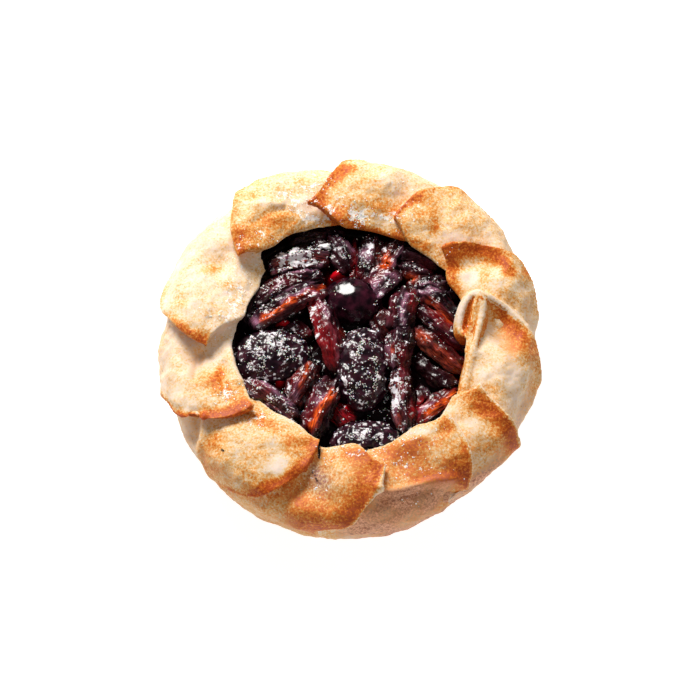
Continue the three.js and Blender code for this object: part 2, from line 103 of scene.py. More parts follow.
def node(tree, kind, inputs=None, **settings):
    """Add a shader node; inputs maps a socket to a value or to the socket that feeds it."""
    made = tree.nodes.new(kind)
    for name, value in settings.items():
        setattr(made, name, value)
    for socket, value in (inputs or {}).items():
        if isinstance(value, bpy.types.NodeSocket):
            tree.links.new(value, made.inputs[socket])
        else:
            made.inputs[socket].default_value = value
    return made


def new_material(name, **values):
    """A material with its Principled shader's constant sockets set."""
    material = bpy.data.materials.new(name)
    material.use_nodes = True
    shader = material.node_tree.nodes["Principled BSDF"]
    for socket, value in values.items():
        shader.inputs[socket.replace("_", " ")].default_value = value
    return material, material.node_tree, shader


def stretch(tree, value, low, high, to_low=0.0, to_high=1.0):
    """A value spread so that low becomes 0 and high becomes 1, or any other two values."""
    return node(tree, "ShaderNodeMapRange", {"Value": value, "From Min": low, "From Max": high,
                                             "To Min": to_low, "To Max": to_high}).outputs[0]


def deselect():
    for thing in bpy.context.selected_objects:
        thing.select_set(False)


def make_active(thing):
    deselect()
    bpy.context.view_layer.objects.active = thing
    thing.select_set(True)


def area_light(name, place, size, watts, colour):
    bpy.ops.object.light_add(type="AREA", location=place)
    lamp = bpy.context.object
    lamp.name = name
    lamp.rotation_euler = (-Vector(place)).to_track_quat("-Z", "Y").to_euler()
    lamp.data.size = size
    lamp.data.energy = watts
    lamp.data.color = linear(colour)[:3]
    return lamp


deselect()
aim = Vector(AIM_MM) * MM
back = Vector((0, -math.cos(CAMERA_ELEVATION), math.sin(CAMERA_ELEVATION)))
bpy.ops.object.camera_add(location=aim + back * CAMERA_DISTANCE)
camera = bpy.context.object
camera.rotation_euler = (-back).to_track_quat("-Z", "Y").to_euler()
camera.data.lens = CAMERA_LENS
camera.data.clip_start = 0.01
bpy.context.scene.camera = camera
bpy.context.scene.view_settings.view_transform = "Standard"

area_light("key_light", (-0.25, 0.60, 0.60), 0.34, 10.9, "#FFFDF8")
fill = area_light("fill_light", (0.35, -0.55, 0.75), 0.60, 1.1, "#FFF6EC")
fill.visible_glossy = False
world = bpy.data.worlds.new("studio")
world.use_nodes = True
world.node_tree.nodes["Background"].inputs["Color"].default_value = linear("#FFFFFF")
# Shiny things mirror a dimmer room than the one that lights them.
mirrored = node(world.node_tree, "ShaderNodeLightPath").outputs["Is Glossy Ray"]
strength = stretch(world.node_tree, mirrored, 0, 1, ROOM_LIGHT, ROOM_MIRRORED)
world.node_tree.links.new(strength, world.node_tree.nodes["Background"].inputs["Strength"])
bpy.context.scene.world = world

bpy.ops.mesh.primitive_plane_add(size=TABLE_SIZE, location=(0, 0, TABLE_Z))
floor = bpy.context.object
floor.name = "table"
# White painted board, lit from within so that its shadows stay faint and its edge is unseen.
floor_white, tree, shader = new_material("white_board", Base_Color=linear("#BFBFBF"), Roughness=0.9,
                                         Emission_Color=linear("#FFFFFF"), Emission_Strength=0.85)
floor.data.materials.append(floor_white)
floor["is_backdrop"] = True

# ------------------------------------------------------------------ crust
# One rolled sheet of shortcrust, about 3 mm thick, folded up over the fruit by hand. Its
# edge is laid in eleven pleats that lap one way round, and the oven browns what stands out.

# Millimetres from the axis of the opening, and heights.
BASE_R, WALL_R, CROWN_R, CROWN_Z, RIM_Z, RIM_R = 68.5, 71.8, 61.5, 32.6, 31.0, 46.0
# How thick the sheet and a pleat are, how deep a pleat is pressed in, and its start.
DOUGH, PLEAT_DOUGH, SINK, START_SUNK = 3.2, 2.8, 1.3, 0.6
# Shares of the way up the sheet, 0 at the underside's edge and 1 at the opening: where a pleat
# begins and comes loose, the run of its lip, how far the curve goes on, where the sheet under
# the pleats ends, and where its inner face runs from and to.
PLEAT_ROOT, PLEAT_FREE, LIP_RUN, PAST_RIM = 0.13, 0.42, 0.1, 1.1
SHEET_TOP, INSIDE_FROM, INSIDE_TO = 0.975, 0.16, 0.96
# Shares of the way across a pleat to its free edge: where it draws in to its tip, parts from
# the next one, curls and swells to a bead, and the bead's height.
TIP_FROM, PART_FROM, CURL_FROM, BEAD_FROM, BEAD = 0.6, 0.7, 0.75, 0.93, 0.5
OVERLAP_DEG, HALF_PLEAT_DEG = 7, 14
FLOOR_SHARE = 0.25        # share of the sheet's grid rows that make its flat underside
CORNER = 3                # mm, how far the bowl's floor ends short of its wall, so it's rounded
SHEET_COLUMNS, SHEET_ROWS, PLEAT_COLUMNS, PLEAT_ROWS = 300, 110, 44, 60
HOOK_COLUMNS, HOOK_ROWS = 150, 8
SECTION = [(BASE_R, 0), (WALL_R - 1.3, 4), (WALL_R, 11), (WALL_R, 18), (WALL_R - 2, 25),
           (CROWN_R + 5.5, 30.4), (CROWN_R, CROWN_Z), (CROWN_R - 6, CROWN_Z + 0.2),
           (RIM_R + 4, RIM_Z + 1.5), (RIM_R, RIM_Z), (RIM_R - 5, RIM_Z - 2.6)]

# The pleats, counter-clockwise from the back left: where the free edge leaves the side, where
# and how far from the axis it ends, the opening's radius there, how far the side stands out,
# how far the edge stands off, its curl, its lip and how it swirls; then how brown the free
# edge, the opening's edge and the face are baked, the width of the brown band in millimetres,
# how pale the cut edge stays, and how far up the sheet the edge comes clear of the side.
PLEATS = [
    (114.8, 142.9, 55.4, 51.5, 5.8, 6.4, 0.0, 0.0, 1.2, 0.26, 0.28, 0.26, 2, 0.3, 0.42),
    (160.9, 184.2, 55.0, 43.5, 1.6, 5.6, 0.0, 0.0, 1.3, 0.26, 0.06, 0.16, 1.5, 0.2, 0.42),
    (194.5, 218.1, 47.9, 46.5, 0.2, 4.0, 0.4, 0.8, 2.0, 0.72, 0.1, 0.15, 1.6, 0, 0.42),
    (228.4, 255.5, 44.2, 41.0, 1.8, 4.0, 0.0, 0.0, 2.1, 0.42, 0.08, 0.26, 2, 0.1, 0.62),
    # The next two pleats face the front, away from the lamp: their face bake is set high, partly as painted
    # shade.
    (261.2, 285.2, 53.1, 44.2, 1.4, 4.7, 0.0, 0.0, 1.4, 0.5, 0.12, 0.46, 2.6, 0.9, 0.6),
    (302.1, 318.6, 49.8, 44.4, -1, 4.0, 0.8, 0.6, 2.2, 0.34, 0.06, 0.46, 2.6, 1, 0.5),
    (329.2, 338.7, 53.5, 46.5, 0.0, 4.0, 1.2, 0.0, 0.7, 0.34, 0.1, 0.32, 3, 1, 0.44),
    (351.5, 378.7, 52.6, 46.5, -0.8, 4.0, 1.6, 2.2, 1.4, 0.24, 0.34, 0.22, 2.4, 0.9, 0.42),
    (372, 405.9, 52.5, 47.0, 4.4, 4.0, 1.6, 0.6, 1.6, 0.3, 0.36, 0.2, 2.4, 0.2, 0.42),
    (404.8, 430.9, 53.9, 48.0, 7.0, 4.0, 0.4, 0.0, 2.1, 0.26, 0.28, 0.27, 2, 0, 0.42),
    (445.4, 467.8, 58.5, 48.5, 4.6, 6.4, 0.6, 0.0, 0.8, 0.26, 0.38, 0.24, 2.4, 0, 0.42),
]
(FOOT, TIP, TIP_R, OPEN_R, OUT, LIFT, CURL, LIP, SWIRL, EDGE_BAKE, RIM_BAKE, FACE_BAKE, BAND,
 PALE, FREE_AT) = range(15)

# Dents and swellings: angle and distance from the axis, spread and height.
RELIEF = [(148, 61, 4.5, -3), (33, 60, 5.5, -4), (19, 65, 4.5, 1.6), (6, 60, 6, -4.6),
          (-10, 62, 6, 1.2), (-31, 60, 5, -2), (-52, 56, 6, 2), (-64, 61, 5, -1.6),
          (-87, 56, 6, 1.8), (-104, 62, 4.5, -3), (-131, 58, 8, 2), (-172, 59, 5.5, -3.4),
          (166, 57, 6, 1.4), (122, 60, 7, 1.2), (88, 58, 7, 1.6), (77, 69, 4, 2.4),
          (60, 60, 6, 1.4)]

# The loose corner of the eighth pleat: its cut edge buckles in an S and folds back over
# itself. Points along the middle of that standing strip, from the axis, and how brown it is.
HOOK = [
    (43.9, -20.3, 32.5, 0.50), (45.2, -14.8, 33.4, 0.55), (46.8, -8.1, 34.5, 0.58),
    (48.6, -1.8, 35.6, 0.56), (50.2, 4.3, 36.8, 0.50), (51.4, 9.7, 38.0, 0.44),
    (51.7, 13.4, 38.9, 0.40), (50.2, 15.4, 39.0, 0.50), (48.9, 13.4, 38.3, 0.62),
    (48.4, 10.0, 37.0, 0.74), (47.9, 6.2, 35.8, 0.84), (46.5, 3.0, 34.6, 0.95),
    (44.5, 1.7, 33.8, 0.95), (42.8, 3.7, 33.8, 0.55), (42.9, 7.4, 35.0, 0.16),
    (43.8, 11.1, 36.6, 0.10), (45.2, 14.3, 38.0, 0.16), (47.4, 16.9, 39.2, 0.28),
    (50.2, 17.6, 39.4, 0.22), (52.6, 16.2, 38.8, 0.16),
]
HOOK_TOP, HOOK_FOOT, HOOK_TALL = 0.95, 2.5, 6.5     # half its width above and below, height
HOOK_TAIL = 6             # more points, down along the pleat's free edge
HOOK_STEPS, HOOK_SAMPLES = 200, 121
# How much paler its crest is, where the strip is pale and where it's dark, and the fold's bake.
CREST_PALE, DARK_CREST_PALE, FOLD_BAKE = 0.8, 0.2, 0.78
NO_HOOK = -1.0            # stands for how brown the strip is where there's none

# Places below are in plan, in millimetres from the axis of the opening. Patches of each pleat
# that are baked more or less: the middle, the spread both ways, and by how much.
BAKED_SPOTS = {
    0: [(-31.7, 49.7, 4.7, 2.6, 0.26), (-25.5, 53.4, 3.5, 2.1, 0.22),
        (-38.7, 61.4, 3.9, 2.6, 0.12), (-41.3, 40.9, 2.8, 3.8, 0.22),
        (-42.5, 35.1, 2.4, 1.7, 0.34), (-24, 48.1, 2.8, 1.7, 0.15), (-36.7, 43.4, 4.7, 3.4, 0.14),
        (-34, 56.3, 7.1, 1.3, -0.14), (-15.5, 57.3, 5.5, 3.4, -0.1)],
    1: [(-55.3, -2, 3.2, 1.5, 0.5), (-59.6, 0.9, 3.2, 1.7, 0.3), (-47.3, 22.2, 2, 1.7, 0.2),
        (-45.7, 14.3, 2.4, 1.7, 0.1), (-56.2, 10.9, 3.9, 3, 0.06), (-52.8, 30.2, 2.4, 1.7, 0.3),
        (-55.5, 27.3, 2, 1.3, 0.16), (-49.7, 34.4, 2.8, 1.3, 0.1), (-66.1, 17.3, 2.8, 4.3, 0.08)],
    2: [(-50, -13.7, 1.4, 2.6, 0.55), (-51.1, -17.9, 2, 2.6, 0.5), (-49.6, -22.1, 2, 1.7, 0.35),
        (-46.1, -21.2, 1.6, 2.6, 0.22), (-54.2, -17.5, 2.8, 3.4, 0.22),
        (-43.4, -25.8, 3.2, 2.6, 0.32), (-47.3, -26.7, 3.9, 1.7, 0.15),
        (-41.5, -22.5, 1.6, 3.4, 0.2), (-57, -19.2, 2.8, 6, 0.1)],
    3: [(-35.7, -32.1, 2.4, 1.7, 0.36), (-31.8, -35.5, 3.5, 1.5, 0.36),
        (-26.8, -37.6, 2.8, 1.5, 0.22), (-20.1, -43, 3.9, 2.1, 0.42),
        (-14.3, -44.2, 2, 1.7, 0.52), (-15.9, -48.8, 2.4, 2.1, 0.3),
        (-22.5, -47.5, 2.4, 1.3, 0.2), (-35, -62.4, 3.9, 2.1, 0.3), (-39.7, -55.7, 4.7, 3.8, 0.2),
        (-34.2, -46.9, 3.2, 4.3, 0.08), (-52.1, -40.6, 3.5, 3.4, 0.3),
        (-54.9, -48.3, 2.8, 4.3, 0.22), (-49.9, -53.4, 3.9, 3.8, 0.12),
        (-24, -51.7, 3.5, 1.7, -0.13), (-30.3, -53.9, 3.2, 1.7, -0.14),
        (-30.3, -46.4, 3.2, 2.6, -0.16)],
    # Patches low on the fifth pleat's left also paint the shade under the fourth pleat's edge.
    4: [(6.2, -49.2, 4.7, 1.5, 0.55), (0.8, -46.7, 3.2, 1.3, 0.33), (9.3, -53.4, 2.8, 2.6, 0.39),
        (4.6, -59.2, 2.8, 3.4, 0.26), (2.3, -67, 3.2, 4.3, 0.33), (-1.6, -74.1, 3.5, 4.3, 0.39),
        (-10.9, -71.1, 4.7, 5.1, 0.25), (-19.6, -72.1, 4.7, 3.4, 0.2),
        (-19.5, -64.5, 3.6, 3.6, 0.3), (-12.6, -76.9, 5.5, 3.4, 0.18), (0, -58.1, 2, 3.4, -0.13),
        (-5.8, -44.3, 4.7, 1.3, -0.16)],
    5: [(20.2, -46.4, 5.1, 2.1, 0.59), (25.6, -43.4, 3.2, 1.7, 0.37), (35.3, -38, 2.8, 2.6, 0.42),
        (34.1, -33.4, 2.4, 2.1, 0.21), (45.4, -51.4, 2, 4.7, 0.6), (41.2, -54.8, 3.5, 1.9, 0.66),
        (35, -56.1, 4.7, 1.3, 0.59), (28.7, -56.9, 3.9, 1.3, 0.29), (45.3, -45.5, 1.2, 3, 0.48),
        (23.3, -52.7, 8.7, 3, 0.21), (27.2, -38.8, 5.1, 1.7, -0.38),
        (33.5, -35.5, 3.2, 1.9, -0.32), (40.7, -41.3, 2, 2.1, -0.31),
        (33.7, -47.6, 3.5, 2.1, -0.18), (38.8, -51, 2.4, 1.3, 0.16)],
    6: [(50, -25, 2.8, 3, 0.4), (52.7, -28.3, 3.2, 3, 0.34), (56.5, -32.5, 2.8, 3, 0.36),
        (60.6, -36.8, 2.4, 3, 0.4), (62.6, -40.2, 1.6, 2.1, 0.4), (48.1, -30, 4.3, 1.5, 0.3),
        (57.9, -37.6, 3.2, 3.4, 0.24), (43.4, -25.4, 3.2, 2.6, 0.1),
        (46.5, -35.1, 4.7, 1.7, -0.16), (40.5, -28.5, 3.4, 2.4, -0.26),
        (49.8, -44, 3.9, 2.6, 0.16), (58.4, -46.6, 4.7, 1.3, 0.06)],
    7: [(55.5, 12.2, 2, 1.7, 0.32), (59.1, 9.3, 2, 2.1, 0.36), (62.3, 5.5, 2.4, 2.6, 0.37),
        (65.6, 2.6, 2.4, 2.6, 0.35), (68.8, -0.4, 2.4, 3, 0.26), (63, -2.9, 3.5, 2.6, 0.28),
        (67.1, -5.4, 3.2, 3.4, 0.22), (72.4, -5.6, 2.4, 6.8, 0.22), (72.4, -18.1, 2.4, 6, 0.16),
        (53.6, -20, 2.4, 2.1, 0.14), (58.3, -13.3, 3.5, 2.6, -0.16), (63.1, -19.3, 3.2, 3, -0.14),
        (50.4, -2.8, 2, 6, -0.1)],
    8: [(39.9, 31.8, 2, 3.8, 0.55), (42.6, 31, 2.8, 1.7, 0.35), (40.3, 24.8, 1.2, 3.8, 0.28),
        (41.9, 19.3, 1.2, 3, 0.2), (53.1, 27.7, 2.4, 4.3, 0.12), (48.1, 26, 2, 2.1, -0.3),
        (45, 21.8, 2, 2.6, -0.14), (64.7, 34.1, 2.8, 3, 0.1), (65.4, 16.9, 3.2, 3.4, 0.12),
        (61.3, 19.8, 2, 3.4, 0.1), (69.6, 25, 2.4, 8.5, 0.08)],
    9: [(33.6, 51.8, 1.6, 5.1, 0.28), (33.6, 46.8, 2, 2.1, 0.16), (27, 52.9, 3.5, 3, 0.14),
        (34.8, 59.7, 6.3, 2.1, 0.1), (26.4, 41.5, 2.4, 1.1, 0.34), (29.9, 39.8, 1.6, 1.1, 0.34),
        (44.6, 56.1, 3.9, 4.3, 0.06), (39.5, 43.5, 5.5, 1.7, -0.16)],
    10: [(-12.3, 56.3, 2.8, 2.6, 0.39), (-10, 53.8, 2.4, 1.7, 0.31), (-1.9, 52.2, 3.5, 2.6, 0.34),
        (-6.2, 53, 2, 1.3, 0.2), (9.3, 56.3, 5.1, 2.1, 0.26), (17.8, 55.1, 2.4, 1.7, 0.26),
        (8.5, 61.8, 3.9, 3, 0.12), (1.5, 63.4, 3.2, 3.8, 0.08), (-1.9, 71.3, 3.5, 2.1, 0.22),
        (-5.8, 65.8, 2.4, 2.6, 0.18), (20.1, 46, 3.2, 1.7, 0.2)],
}
# Brown lines along folded edges: which pleat, points of the line, its width, and how brown.
BAKED_LINES = [
    (0, [(-43.6, 43.4), (-44.4, 40.1), (-43.6, 35.9), (-40.2, 34.7), (-35.5, 35.9)], 1.0, 0.4),
    (1, [(-65.4, 3.4), (-62.7, 1.3), (-59.6, -0.7), (-56.5, -2.8)], 1.0, 0.75),
    (2, [(-68.2, -31.3), (-63.5, -32.1), (-58.1, -32.5), (-51.9, -32.5), (-45.7, -30.8),
         (-39.9, -28.3)], 1.6, 0.95),
    (3, [(-15.1, -51.8), (-19, -54.7), (-23.3, -57.7), (-28.3, -60.2), (-33.4, -62.3)], 2.0, 0.9),
    (4, [(12.8, -53.1), (12, -58.1), (10.5, -62.7), (7.4, -67.7), (3.9, -72.7), (0, -78.2)], 2.0, 0.85),
    (6, [(51.9, -20.8), (55, -25.4), (58.1, -30), (61.2, -34.6), (64.3, -39.2)], 1.9, 0.5),
    (7, [(52.9, 15.5), (56.4, 13.8), (59.1, 11.3), (61.4, 8), (63.7, 4.7), (66.4, 1.8)], 1.2, 0.45),
    (8, [(37.1, 35.5), (40.9, 37), (45.6, 37.6), (50.2, 38), (54.5, 37.2), (57.9, 35.1), (60.6, 32.2),
         (63, 28.8)], 1.8, 0.85),
    (9, [(18.1, 47.9), (17.4, 50.9), (18.5, 53.4), (21.2, 55.8), (24.7, 58.3), (27.8, 60)], 1.2, 0.62),
    (10, [(-15.8, 55), (-13.1, 57.5), (-10.8, 60.8), (-8.5, 64.2), (-5.8, 68.3), (-2.3, 71.7),
         (1.2, 72.9)], 1.7, 0.4),
    (10, [(-8.5, 50.6), (-1.9, 49), (4.6, 47.3), (11.6, 45.6), (17.8, 44), (23.2, 41.9),
         (28.7, 39.4)], 1.1, 0.52),
]
# Patches dusted with powdered sugar: the middle, the spread both ways, and how thickly.
DUSTED_CRUST = [
    (-36.7, 41.3, 3.9, 2.6, 0.45), (-42.5, 37.2, 2.4, 1.7, 0.4), (-25.1, 61.4, 4.7, 2.6, 0.75),
    (-19.3, 55.2, 3.9, 2.6, 0.6), (-15.5, 65.6, 3.9, 3.0, 0.55), (-15.5, 52, 3.9, 1.3, 0.55),
    (-42.7, 31.9, 3.5, 2.1, 0.45), (-46.5, 16, 3.2, 6.0, 0.55), (-48, 7.6, 3.2, 3.8, 0.45),
    (-42.7, 20.6, 2.0, 5.1, 0.4), (-56.2, 8.9, 3.9, 3.4, 0.25), (2.3, 51, 2.8, 2.6, 0.75),
    (7.7, 51.8, 3.9, 1.7, 0.65), (14.7, 52.7, 2.4, 1.3, 0.75), (1.9, 53.4, 2.0, 1.7, 0.5),
    (21.2, 50.9, 2.4, 2.1, 0.55), (26.3, 55.5, 3.2, 1.3, 0.35), (-3.9, 58.8, 3.2, 2.6, 0.35),
    (-8.9, 53.4, 3.2, 2.1, 0.5), (17.4, 65.6, 3.9, 2.6, 0.2), (-47.3, -22.5, 2.4, 2.6, 0.6),
    (-50.4, -27.5, 2.4, 1.7, 0.4), (-36.8, -33, 2.4, 2.1, 0.6), (-34.1, -31.3, 2.4, 1.3, 0.4),
    (-35.7, -36.7, 2.0, 1.3, 0.5), (-7.8, -43.9, 2.8, 1.3, 0.35), (-12.4, -58.6, 3.2, 3.4, 0.3),
    (-5.8, -47.2, 4.7, 2.1, 0.25), (3.9, -47.5, 2.8, 1.3, 0.35), (19.4, -49.7, 4.7, 2.1, 0.25),
    (24.1, -54.4, 7.9, 3.4, 0.14), (23.7, -64.8, 3.2, 1.7, 0.15), (31.8, -45.1, 2.8, 2.1, 0.2),
    (10.9, -46.9, 2.0, 1.7, 0.3),
]
# Creases: points of each line, its width, and its height.
CREASES = [
    ([(44.1, -58.5), (39.8, -56.4), (32, -57.3), (24.2, -59.8), (16.4, -61.9), (10.9, -61.5)], 1.6, 1.5),
    ([(43.2, -61.9), (31.4, -61.1), (23.6, -63.2), (13.4, -65.3)], 3, -1.6),
    ([(66.2, -38.9), (61.9, -44), (56.4, -47.8), (50.1, -50.7)], 1.4, 0.9),
    ([(-49.2, -9.5), (-49.6, -15), (-48, -20.8)], 1.5, -1.1),
    ([(-46.5, -4.5), (-45.8, -11.2), (-42.7, -17.9)], 1.6, 0.9),
    ([(-58.3, -5), (-59.4, -10.8), (-59.8, -15.9)], 1.6, -1.8),
    ([(-55.8, -32.4), (-57.3, -37.4), (-57.7, -43.3)], 1.6, 1.2),
    ([(-59.5, -31.7), (-60.3, -37.2)], 2.6, -2.2),
    ([(-38.6, 55.5), (-32.8, 56.8), (-27.8, 56.3)], 1.8, 0.8),
    ([(-38.6, 47.6), (-31.7, 52.2), (-25.5, 55.1)], 1.6, -0.8),
    ([(-18.7, -59.1), (-21, -63.3), (-24.9, -65.8)], 3.2, -2.2),
    ([(-11.7, -51.1), (-10.9, -58.6), (-7.8, -67)], 2.6, -0.9),
    ([(18.6, -43.5), (27.2, -40.6), (34.2, -36)], 2.2, 0.9),
    ([(58.2, 8.9), (58.2, 3), (61.3, -2.9)], 3.6, -1.8),
    ([(39.5, 31.4), (44.9, 31.4), (51.1, 33.1), (56.9, 31.4)], 2.6, -1),
]
# The side: angle, how far from the axis the face ends and the side begins, and how ruddy.
# On the front the ruddy colour is partly painted shade, where the side faces away from the lamp.
SIDE = [(-180, 69, 0.15), (-150, 69, 0.15), (-125, 70, 0.25), (-105, 74, 0.3), (-97, 76, 0.4),
        (-88, 66, 0.9), (-80, 62.5, 1.0), (-68, 64.0, 1.0), (-61, 65.5, 1.0), (-55, 69.0, 1.0),
        (-50, 70.5, 1.0), (-40, 71.5, 0.9), (-30, 71.5, 0.7), (-15, 70.5, 0.35), (0, 69, 0.3),
        (30, 72, 0.2), (50, 78, 0), (180, 69, 0.15)]
# Painted shade: the front pleats, which face away from the lamp, are made ruddier and darker.
SHADED_FRONT_FACES = (-68, 22, 0.14)     # the front pleats are ruddier too: angle, spread, how much
# Painted shade in the hollows between the folds, in the side's ruddy colour.
SHADED_HOLLOWS = [(59, 1.3, 2.5, 3, 0.35), (62, -6, 2.5, 5, 0.35), (-60, -9, 3, 8, 0.3),
           (-62, -34, 4, 4, 0.3), (-21, -63, 4, 3, 0.12)]
# Where juice boiled over and dried in the dough, and the cracks it came through: the points
# of each and its width. The second crack line is painted shadow, in the gap under the tip of
# the fourth pleat.
STAINS = [
    (-12, -56.5, 2.4, 3.0, 0.9), (-9.3, -60.3, 2.8, 3.0, 0.45), (-13.2, -52.7, 1.2, 1.7, 0.6)
]
CRACKS_AND_GAP_SHADOW = [
    ([(-14.8, -53.1), (-13.6, -54.6), (-13.3, -55.6), (-12, -57.8)], 0.24),
    ([(-11.1, -40.6), (-11.3, -44.7), (-11.8, -48.4)], 0.42),
    ([(-48.4, -45.6), (-47.6, -46.0)], 0.55),
]
CRUST_VOXEL = 0.62 * MM
CRUST_TRIANGLES = 194000  # at most, in the finished piece
SIDE_TOP, SIDE_SMOOTHING = 22, 18     # mm up to which the plain side is smoothed, and how often
# How far the dough swells and blisters, over lumps of which size, both in millimetres.
SWELL, SWELL_SIZE, BLISTER, BLISTER_SIZE, PIMPLE, PIMPLE_SIZE = 0.8, 15, 0.34, 5.5, 0.16, 2.2
# How strongly a free edge, the opening's edge, patches and blotches brown the dough, the width
# of the opening's band in millimetres, the most that patches reach, and the underside's bake.
EDGE_WEIGHT, RIM_WEIGHT, PATCH_WEIGHT, BLOTCH_WEIGHT = 1.4, 0.8, 1.1, 0.10
RIM_BAND, BAKE_LIMIT, BASE_BAKE = 2.2, 1.05, 0.45
HIDDEN_SHARE = 0.08       # share of the faces that is left where nothing shows


def smooth(x, low, high):
    t = np.clip((np.asarray(x, float) - low) / (high - low), 0, 1)
    return t * t * (3 - 2 * t)


def lerp(a, b, t):
    return a + (b - a) * t


def in_frame(x, y, z):
    """Places about the opening's axis, as places in the frame, all in millimetres."""
    return np.stack([x + MIDDLE_MM[0], y + MIDDLE_MM[1], z], -1)


def from_axis(places_mm):
    """How far places in the frame are from the opening's axis."""
    return np.hypot(places_mm[..., 0] - MIDDLE_MM[0], places_mm[..., 1] - MIDDLE_MM[1])


def catmull(points, count):
    """Evenly spaced points and tangents along a smooth curve through the given points."""
    points = np.array(points, float)
    last = len(points) - 1
    t = np.linspace(0, last, 60 * last + 1)
    i = np.minimum(t.astype(int), last - 1)
    f = (t - i)[:, None]
    p = [points[np.clip(i + k, 0, last)] for k in (-1, 0, 1, 2)]
    curve = 0.5 * (2 * p[1] + (p[2] - p[0]) * f + (2 * p[0] - 5 * p[1] + 4 * p[2] - p[3]) * f ** 2
                   + (3 * p[1] - p[0] - 3 * p[2] + p[3]) * f ** 3)
    run = np.concatenate([[0], np.cumsum(np.linalg.norm(np.diff(curve, axis=0), axis=1))])
    at = np.linspace(0, run[-1], count)
    even = np.stack([np.interp(at, run, curve[:, k]) for k in range(points.shape[1])], axis=1)
    tangent = np.gradient(even, axis=0)
    return even, tangent / np.linalg.norm(tangent, axis=1)[:, None]


SECTION_EVEN, SECTION_TANGENT = catmull(SECTION, 400)
SECTION_T = np.linspace(0, 1, 400)


def pleat_middle(k):
    """The angle of a pleat's middle, counted on round the pastry."""
    return PLEATS[k % 11][TIP] - HALF_PLEAT_DEG + 360 * (k // 11)


def eased(column, deg):
    """One of the pleats' sizes at any angle, eased from each pleat's middle to the next."""
    first = pleat_middle(0)
    angle = first + np.mod(np.asarray(deg, float) - first, 360)
    value = np.zeros_like(angle)
    for k in range(11):
        low, high = pleat_middle(k), pleat_middle(k + 1)
        here = (angle >= low) & (angle < high)
        blend = lerp(PLEATS[k][column], PLEATS[(k + 1) % 11][column], smooth(angle, low, high))
        value = np.where(here, blend, value)
    return value


def sheet(deg, w, off):
    """Points a share w up the folded sheet from the underside's edge, moved out by off."""
    deg, w, off = np.broadcast_arrays(*(np.asarray(v, float) for v in (deg, w, off)))
    t = np.clip(w / PAST_RIM, 0, 1)
    radius, height = (np.interp(t, SECTION_T, SECTION_EVEN[:, k]) for k in (0, 1))
    along_r, along_z = (np.interp(t, SECTION_T, SECTION_TANGENT[:, k]) for k in (0, 1))
    r = radius + lerp(eased(OUT, deg), eased(OPEN_R, deg) - RIM_R, smooth(w, 0.5, 1))
    angle = np.radians(deg)
    dent = 0
    for spot_deg, spot_r, spread, rise in RELIEF:
        spot = math.radians(spot_deg)
        far = np.hypot(r * np.cos(angle) - spot_r * math.cos(spot),
                       r * np.sin(angle) - spot_r * math.sin(spot))
        dent = dent + rise * np.exp(-0.5 * (far / spread) ** 2)
    r = r + along_z * off
    z = height + dent * smooth(w, 0.4, 0.6) - along_r * off
    return in_frame(r * np.cos(angle), r * np.sin(angle), z)


def reach_of(deg, radius):
    """How far up the sheet its surface comes within a radius of the axis."""
    low, high = np.full_like(deg, 0.6), np.full_like(deg, PAST_RIM)
    for _ in range(20):
        half = (low + high) / 2
        outside = from_axis(sheet(deg, half, 0)) > radius
        low, high = np.where(outside, half, low), np.where(outside, high, half)
    return (low + high) / 2


def shaped_slab(name, columns, rows, shape):
    """A flat grid is extruded to a slab, and every point of it is moved to its place.

    shape(u, v, under) takes shares across and along the grid and whether a point is of the
    slab's under side, and gives places in millimetres.
    """
    deselect()
    bpy.ops.mesh.primitive_grid_add(x_subdivisions=columns, y_subdivisions=rows, size=1)
    slab = bpy.context.object
    slab.name = name
    bpy.ops.object.mode_set(mode="EDIT")
    bpy.ops.mesh.select_all(action="SELECT")
    bpy.ops.mesh.extrude_region_move(TRANSFORM_OT_translate={"value": (0, 0, -1)})
    bpy.ops.object.mode_set(mode="OBJECT")
    places = read_places(slab)
    moved = shape(places[:, 0] + 0.5, places[:, 1] + 0.5, places[:, 2] < -0.5)
    write_places(slab, moved * MM)
    return slab


def read_places(thing):
    places = np.empty(len(thing.data.vertices) * 3)
    thing.data.vertices.foreach_get("co", places)
    return places.reshape(-1, 3)


def read_normals(thing):
    normals = np.empty(len(thing.data.vertices) * 3)
    thing.data.vertices.foreach_get("normal", normals)
    return normals.reshape(-1, 3)


def write_places(thing, places):
    thing.data.vertices.foreach_set("co", np.ascontiguousarray(places).ravel())
    thing.data.update()


def write_attribute(thing, name, values):
    attribute = thing.data.attributes.new(name, "FLOAT", "POINT")
    attribute.data.foreach_set("value", np.asarray(values, np.float32))


def apply_modifier(thing, kind, **settings):
    make_active(thing)
    modifier = thing.modifiers.new(kind.title(), kind)
    for name, value in settings.items():
        setattr(modifier, name, value)
    bpy.ops.object.modifier_apply(modifier=modifier.name)


def shade_smooth(thing):
    make_active(thing)
    bpy.ops.object.shade_smooth()


def close_seams(thing):
    """A grid that was wrapped round on itself is joined up, with its faces outward."""
    make_active(thing)
    bpy.ops.object.mode_set(mode="EDIT")
    bpy.ops.mesh.select_all(action="SELECT")
    bpy.ops.mesh.remove_doubles(threshold=1e-5)
    bpy.ops.mesh.normals_make_consistent(inside=False)
    bpy.ops.object.mode_set(mode="OBJECT")


def grain(places_mm, wavelength, octaves=1, seed=0.0):
    """Smooth random values, about -1 to 1, that change over a wavelength in millimetres."""
    shift = Vector((seed * 17.3, seed * -9.1, seed * 5.7))
    scaled = [Vector(p) / wavelength + shift for p in places_mm]
    if octaves == 1:
        return np.array([noise.noise(p) for p in scaled]) * 1.6
    return np.array([noise.fractal(p, 1.0, 2.0, octaves) for p in scaled]) * 1.4


def spots(places_mm, table):
    """The sum of soft round patches, each (x, y, spread x, spread y, strength)."""
    total = np.zeros(len(places_mm))
    for x, y, wide, deep, strength in table:
        total += strength * np.exp(-0.5 * (((places_mm[:, 0] - x) / wide) ** 2
                                           + ((places_mm[:, 1] - y) / deep) ** 2))
    return total


